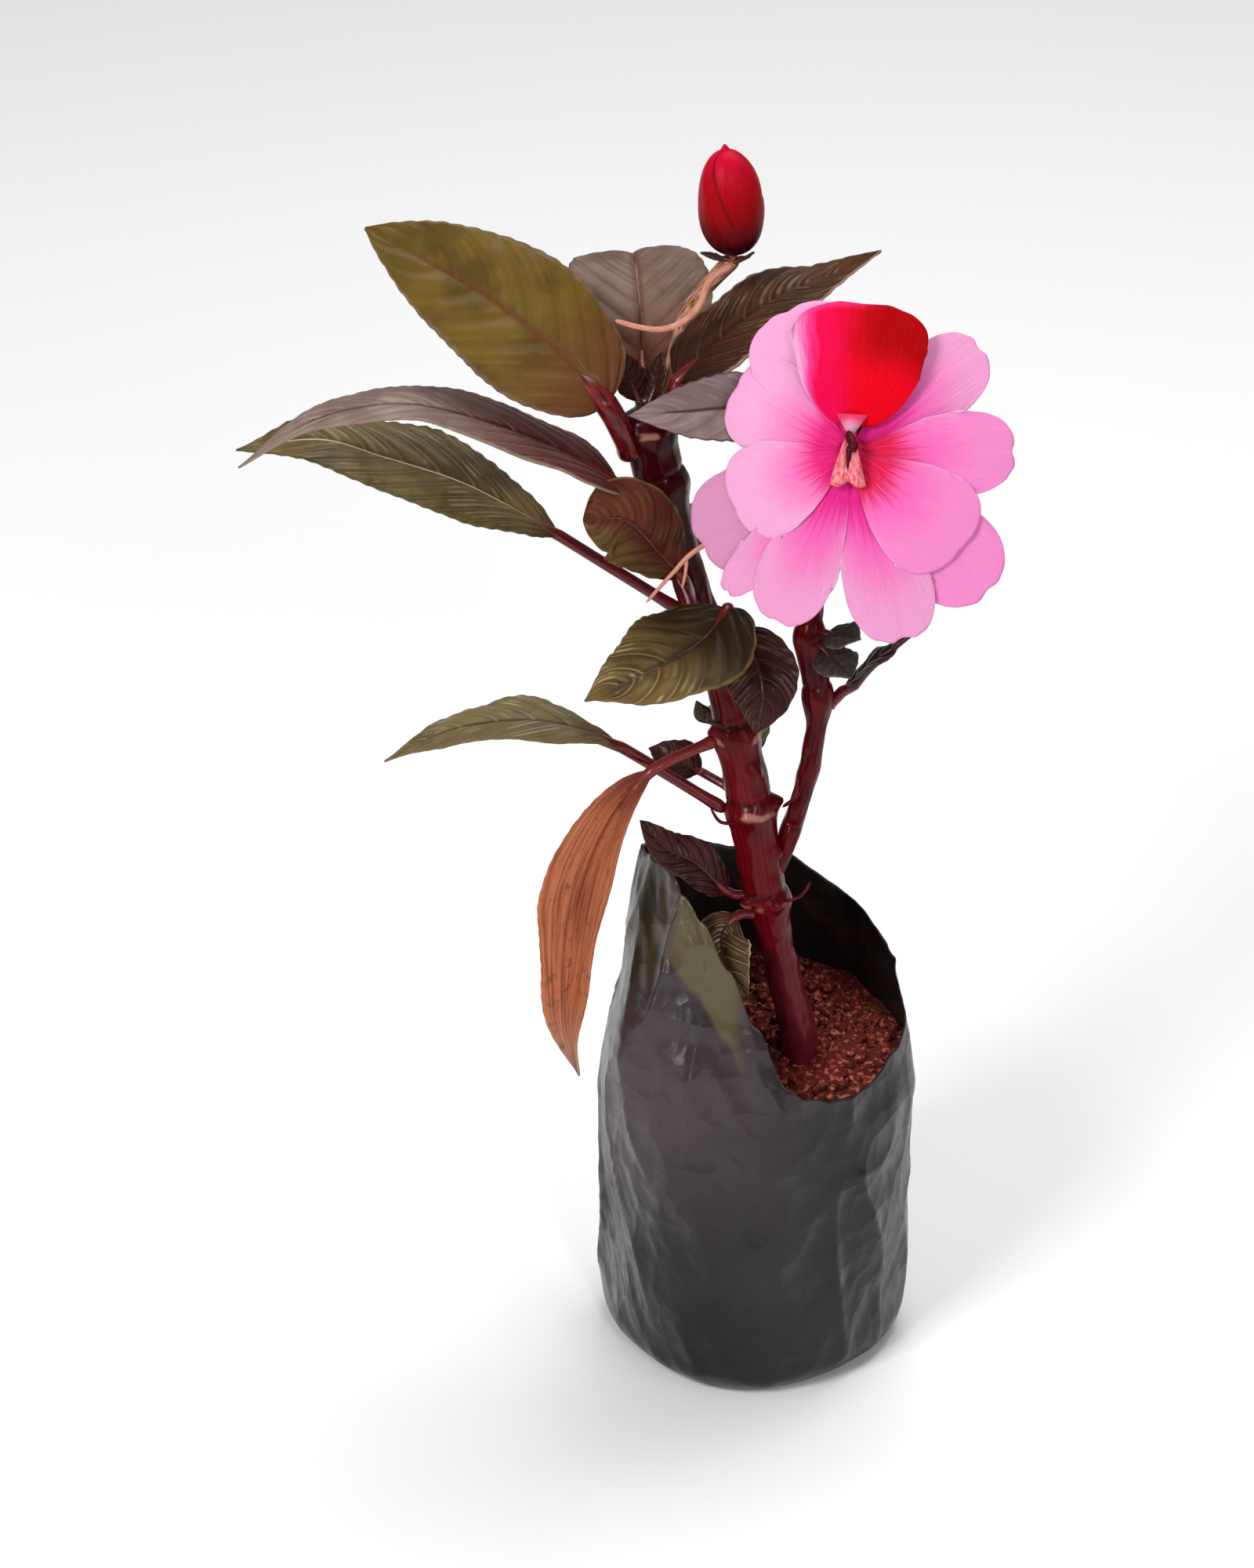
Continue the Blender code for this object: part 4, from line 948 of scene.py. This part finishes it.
def hub_place(u, v):
    """The hub that the petals grow from, a low dome."""
    turn, lean = 2 * pi * u, pi * v
    wide = sin(lean)
    dome = Vector((cos(turn) * wide, sin(turn) * wide, -0.8 * cos(lean))) * HUB_RADIUS
    return FLOWER_CENTRE - FRONT * 1.6 * MM + flower_turn @ dome


hub_skin = plain_skin("magenta hub", (214, 20, 100), (160, 8, 60), 0.45)
set_in(laid("flower_hub", 32, 18, hub_place, [hub_skin], closed=True), "flower_petals")


def scarlet_finish():
    """The upper petal: a scarlet blotch that fades to pink on its left and is darkest at its right edge."""
    material, _, uv, across, along = new_finish("scarlet and pink petal")
    ray = uv.grain(5, 3, (6, 0.8, 1))
    side = across + (ray - 0.5) * 0.12
    near = side + along.rise(0.6, 0.1) * 0.16
    colour = blend(
        (244, 172, 216), (240, 70, 156), near.rise(0.04, 0.22),
        (236, 4, 76), near.rise(0.15, 0.30),
        (234, 0, 26), side.rise(0.30, 0.55),
        (168, 0, 4), side.rise(0.34, 0.62) * along.rise(0.36, 0.74) * 0.95,
        (236, 70, 150), along.rise(0.93, 1.0) * side.rise(0.6, 0.35) * 0.6,
    )
    return close_finish(material, colour, 0.5 + ray * 0.1, ray, 0.22, specular=0.04)


finishes = [scarlet_finish(), PETAL_SKINS["mauve"]]
piece = petal("scarlet_petal", 88, 28 * MM, 25 * MM, -2.0 * MM, 0.10, 5 * MM, finishes, claw=0.5)
set_in(piece, "flower_red_petal")

# The column: the joined anthers in the flower's throat, one salmon wedge that widens downwards to a notched
# end, with a dark seam and hook in front and a small pale fold of petal above.


def in_throat(right, up, out):
    """A point in the flower's own directions, in millimetres from its centre."""
    return (FLOWER_CENTRE + flower_turn @ (Vector((right, up, out)) * MM)) / MM


def column_finish():
    """Salmon anthers with fine red stripes, rosier below the dark crimson top, with pale patches low down
    that are a painted highlight.
    """
    material, _, uv, _, along = new_finish("salmon column")
    stripe = uv.grain(5, 3, (8, 1.6, 1))
    colour = blend(
        (246, 128, 138), (206, 30, 66), stripe.rise(0.52, 0.60) * 0.6,
        # Pale patches on the lower part: a painted highlight.
        (240, 176, 168), stripe.rise(0.44, 0.36) * along.rise(0.3, 0.6),
        (150, 10, 34), along.rise(0.22, 0.05),
    )
    return close_finish(material, colour, 0.4 + stripe * 0.1, stripe, 0.2)


def cap_place(u, v):
    """The joined anthers: a wedge that widens downwards, grooved in front and notched at its lower end."""
    turn = 2 * pi * u
    closing = min(1, 12 * v, 12 * (1 - v)) ** 0.5
    right = cos(turn) * (0.6 + 3.0 * v**0.85) * closing
    out = sin(turn) * (0.9 + 0.5 * v) * closing
    if out > 0:
        out -= 0.7 * v * exp(-((right / 0.45) ** 2)) - 0.25 * sin(4 * right)
    base = 2.9 + 1.1 * sin(2.2 * v) - 2.2 * v * v
    up = 3.6 - 10.4 * v + 1.5 * v**4 * exp(-((right / 1.1) ** 2))
    return in_throat(right, up, base + out) * MM


def fold_place(u, v):
    """The pale fold above the cap: a small upright tongue, narrow below."""
    x = 2 * u - 1
    return in_throat(x * (0.35 + 2.5 * v**0.8), 3.4 + 3.8 * v, 3.2 + 0.6 * v - 1.1 * x * x - 1.6 * v**3) * MM


anthers = laid("anthers", 40, 40, cap_place, [column_finish()], closed=True)
slit = plain_skin("dark throat", (96, 8, 20), (52, 4, 10), 0.4)
HOOK_POINTS = ((-0.5, 4.0, 2.8), (0.2, 2.6, 4.0), (0.9, 1.2, 4.9), (0.5, 0.2, 5.0))
SEAM_POINTS = ((0.1, 1.5, 4.2), (0.1, -1.0, 4.4), (0, -3.2, 3.6))
hook_line = curve_through([in_throat(*spot) for spot in HOOK_POINTS], 8)
hook = tube("hook", hook_line, lambda k, turn: (0.55 + 0.35 * sin(pi * k / 24)) * MM, 12, slit)
seam_line = curve_through([in_throat(*spot) for spot in SEAM_POINTS], 8)
seam = tube("seam", seam_line, lambda k, turn: (0.7 - 0.03 * k) * MM, 10, slit)
throat = pink_finish("throat fold", (238, 170, 190), (240, 160, 192), (236, 60, 110), 0.5, (238, 150, 190))
fold = laid("throat_fold", 16, 14, fold_place, [throat, throat], wall=0.35 * MM)
set_in(join("anther_column", [anthers, hook, seam, fold]), "flower_column")

# The flower's stalk, its green-red cup and its spur: a thin stalk from the side shoot to the back of the
# flower, with a long hair-thin spur that curves away to the left and ends in a small fork.
back = FLOWER_CENTRE - FRONT * (1.6 * MM + HUB_RADIUS * 0.8 + 0.2 * MM)
foot = point_at_height(SIDE_SHOOT, 187) + Vector((0, -1, 0)) * (side_radius(187 * MM) - 0.4 * MM)
bend = (foot + back) / 2 + Vector((0, 2, -1)) * MM
stalk_line = curve_through([p / MM for p in (foot, bend, back - FRONT * 4 * MM, back - FRONT * 0.8 * MM)], 14)
SPUR = ((8, -12.5, 194), (-3, -14.5, 189), (-12.5, -16, 184), (-17, -17, 179.5), (-22, -17.5, 173.5))
spur_line = curve_through([(back - FRONT * 3 * MM) / MM, *SPUR], 16)
tine_line = curve_through([(-14.3, -16.4, 182.2), (-14.6, -17.2, 179.4), (-15.2, -17.8, 176.6)], 8)
CUP_STEPS = 21
cup_line = [back - FRONT * (step * 0.3) * MM for step in range(CUP_STEPS + 1)]


def cup_radius(k, turn):
    """Radius of the cup, which narrows backwards, with five shallow ribs."""
    return (2.7 - 1.9 * (k / CUP_STEPS) ** 1.4) * MM * (1 + 0.06 * sin(5 * turn))


def thinning(line, foot, taper):
    """The radius of a stalk along a line: foot at its start, and less by taper at its tip, in millimetres."""
    return lambda k, turn: (foot - taper * k / len(line)) * MM


salmon = plain_skin("salmon stalk", (222, 168, 132), (110, 52, 40), 0.34)
spur_pale = plain_skin("pale spur", (228, 172, 146), (200, 116, 98), 0.34)
set_in(join("flower_stem_and_spur", [
    tube("flower_stalk", stalk_line, thinning(stalk_line, 1.0, 0), 16, salmon),
    tube("spur", spur_line, thinning(spur_line, 0.8, 0.5), 12, spur_pale),
    tube("spur_tine", tine_line, thinning(tine_line, 0.4, 0.2), 8, spur_pale),
    tube("spur_cup", cup_line, cup_radius, 28, salmon),
]), "flower_stalk")

# The closed bud: crimson petals wrapped over each other in a slight spiral, with a short spine at the top.
# They are as thin and soft as the open flower's, and still shut on the bud's stalk.
BUD_CENTRE = Vector((-7.0, 6.0, 245.5)) * MM
BUD_HALF_LENGTH = 10.4 * MM
BUD_RADIUS = 6.1 * MM
BUD_TAPER = 0.10
BUD_BLUNTNESS = 2.4
bud_turn = Matrix.Rotation(radians(-6), 3, "Y")


def bud_place(u, v):
    """The wrapped bud, each of its three outer petals stepping over the next along a slanting line."""
    turn, z = 2 * pi * u, -cos(pi * v)
    lap = ((3 * turn + 2.4 * z) / (2 * pi)) % 1
    step = 0.05 * (lap - 0.5) * sin(pi * v)
    egg = (1 - BUD_TAPER * z) * (1 + 0.04 * sin(3 * turn + 2.4 * z) * (1 - z * z) + step)
    wide = (1 - abs(z) ** BUD_BLUNTNESS) ** 0.5 * BUD_RADIUS * egg
    spine = 1.1 * max(0, (z - 0.985) / 0.015) ** 2
    spot = Vector((cos(turn) * wide, sin(turn) * wide, z * BUD_HALF_LENGTH + spine * MM))
    return BUD_CENTRE + bud_turn @ spot


def bud_finish():
    """Crimson skin: rosier at the top, nearly black red at the base, with fine lengthwise folds."""
    material, _, uv, across, along = new_finish("crimson bud")
    fold = uv.grain(4, 4, (8, 1.2, 1))
    lap = across * 3 + along * 0.9
    colour = blend(
        (38, 0, 3), (166, 0, 14), along.rise(0.20, 0.62),
        (206, 10, 50), (along + (fold - 0.5) * 0.3).rise(0.5, 0.9),
        (116, 0, 16), fold.rise(0.5, 0.66) * 0.35,
        (92, 2, 14), abs(lap.maths("FRACT", lap + 0.35) - 0.5).rise(0.44, 0.5) * 0.7,
    )
    return close_finish(material, colour, 0.36 + fold * 0.1, fold, 0.15, specular=0.05, coat=(0.02, 0.3))


set_in(laid("closed_bud", 96, 60, bud_place, [bud_finish()], closed=True), "bud")

# The bud's stalk: a thick salmon hook that rises behind the leaves, with two small dark sepals at the bud's
# base and a thin pale spur that curls down to the left.
bud_foot = BUD_CENTRE + bud_turn @ Vector((0, 0, -BUD_HALF_LENGTH - 0.4 * MM))
hook_foot = point_at_height(MAIN_STEM, 204) + Vector((0.75, 0.66, 0)) * (main_radius(204 * MM) - 0.3 * MM)
HOOK = ((-17.6, 9.5, 212), (-15.4, 13, 219.5), (-11.8, 12, 225.5))
hook_line = curve_through([hook_foot / MM, *HOOK, bud_foot / MM], 14)
CURL = (
    (-10.6, 3.4, 231), (-12.5, 0.6, 227), (-15.5, -0.8, 224.2), (-19.5, -1, 222.6), (-24, -1, 223),
    (-28.5, -1, 224.3),
)
curl_line = curve_through([(bud_foot - Vector((0.4, 0, 1.6)) * MM) / MM, *CURL], 10)


def hook_radius(k, turn):
    """Radius of the bud's stalk, which widens where it meets the bud."""
    return (1.45 + 0.5 * (k / len(hook_line)) ** 8) * MM


hook = tube("bud_stalk", hook_line, hook_radius, 20, salmon)
curl = tube("bud_spur", curl_line, thinning(curl_line, 0.85, 0.4), 12, spur_pale)
sepal_foot = bud_foot / MM - Vector((0, 0, 1.2))
sepals = [
    small_leaf(f"sepal_{k}", sepal_foot, top, 3.0, (0, 0, 1), "burgundy", stalk=0.6, wave=0, quilt=0.1,
               teeth=0.0, steps=30, columns=12)
    for k, top in enumerate(((-2.5, 4, 236.5), (-12.5, 6, 235.5)))
]
set_in(join("bud_stem_and_sepals", [hook, curl, *sepals]), "bud_stalk")

# The stage: a plain pale floor that runs up into a plain pale wall, soft studio lamps from the front left,
# the front right and behind, and the camera where the photograph was taken from.
STAGE_WIDTH = 9
FLOOR_FRONT = 4.0
WALL_BEGINS = 3.0
BEND_RADIUS = 0.9
BEND_RUN = 1.414
FLOOR_DROP = 0.0002


def stage_place(u, v):
    """A floor that turns up into a backdrop in a wide curve."""
    run = STAGE_WIDTH * v - FLOOR_FRONT
    bend = max(0.0, run - WALL_BEGINS)
    lean = min(bend / BEND_RADIUS, pi / 2)
    back = min(run, WALL_BEGINS) + BEND_RADIUS * sin(lean)
    up = BEND_RADIUS * (1 - cos(lean)) + max(0.0, bend - BEND_RUN)
    return Vector(((u - 0.5) * STAGE_WIDTH, back, up - FLOOR_DROP))


material, places, *_ = new_finish("pale studio paper")
cloud = places.grain(3, 2)
whites = {0: cloud, 6: (0.90, 0.895, 0.89), 7: (0.94, 0.935, 0.93)}
paper = close_finish(material, cloud.node("Mix", {"data_type": "RGBA"}, whites, 2), 0.9)
laid("floor", 24, 120, stage_place, [paper])


def lamp(name, place, aim, size, power, colour):
    """A square soft lamp that looks at a point."""
    light = bpy.data.lights.new(name, "AREA")
    light.shape, light.size, light.energy, light.color = "SQUARE", size, power, colour
    holder = bpy.data.objects.new(name, light)
    bpy.context.scene.collection.objects.link(holder)
    holder.location = place
    holder.rotation_euler = (Vector(aim) - Vector(place)).to_track_quat("-Z", "Y").to_euler()


WHITE = (1.0, 1.0, 1.0)
MIDDLE = (0, 0, 0.14)
lamp("key", (-0.75, -0.95, 1.05), MIDDLE, 0.45, 13.4, (1.0, 0.98, 0.96))
lamp("fill", (0.95, -0.75, 0.55), MIDDLE, 0.8, 2.6, (0.96, 0.98, 1.0))
lamp("top", (0.15, 0.35, 1.2), MIDDLE, 0.7, 9.5, WHITE)
lamp("wall", (0, 1.8, 2.2), (0, 4.0, 0.6), 1.6, 16, WHITE)
lamp("glint", (0.30, -1.05, 0.80), (0, 0, 0.16), 0.18, 2.4, WHITE)
lamp("low_glint", (-0.62, -0.62, 0.26), (0, 0, 0.03), 0.10, 0.8, WHITE)

world = bpy.data.worlds.new("pale room")
bpy.context.scene.world = world
world.use_nodes = True
world.node_tree.nodes["Background"].inputs["Color"].default_value = (0.95, 0.96, 1.0, 1)
world.node_tree.nodes["Background"].inputs["Strength"].default_value = 0.26

SENSOR_HEIGHT = 24.0
SENSOR_WIDTH = 19.2
PICTURE_HEIGHT = 2000
FOCAL_PIXELS = 6045
AIM = Vector((-0.026, -0.005, 0.128))
camera = bpy.data.cameras.new("camera")
camera.sensor_fit, camera.sensor_height, camera.sensor_width = "VERTICAL", SENSOR_HEIGHT, SENSOR_WIDTH
camera.lens = SENSOR_HEIGHT * FOCAL_PIXELS / PICTURE_HEIGHT
eye = bpy.data.objects.new("camera", camera)
bpy.context.scene.collection.objects.link(eye)
eye.location = (0, -0.8286, 0.5622)
eye.rotation_euler = (AIM - eye.location).to_track_quat("-Z", "Y").to_euler()
bpy.context.scene.camera = eye
bpy.context.scene.view_settings.view_transform = "Standard"
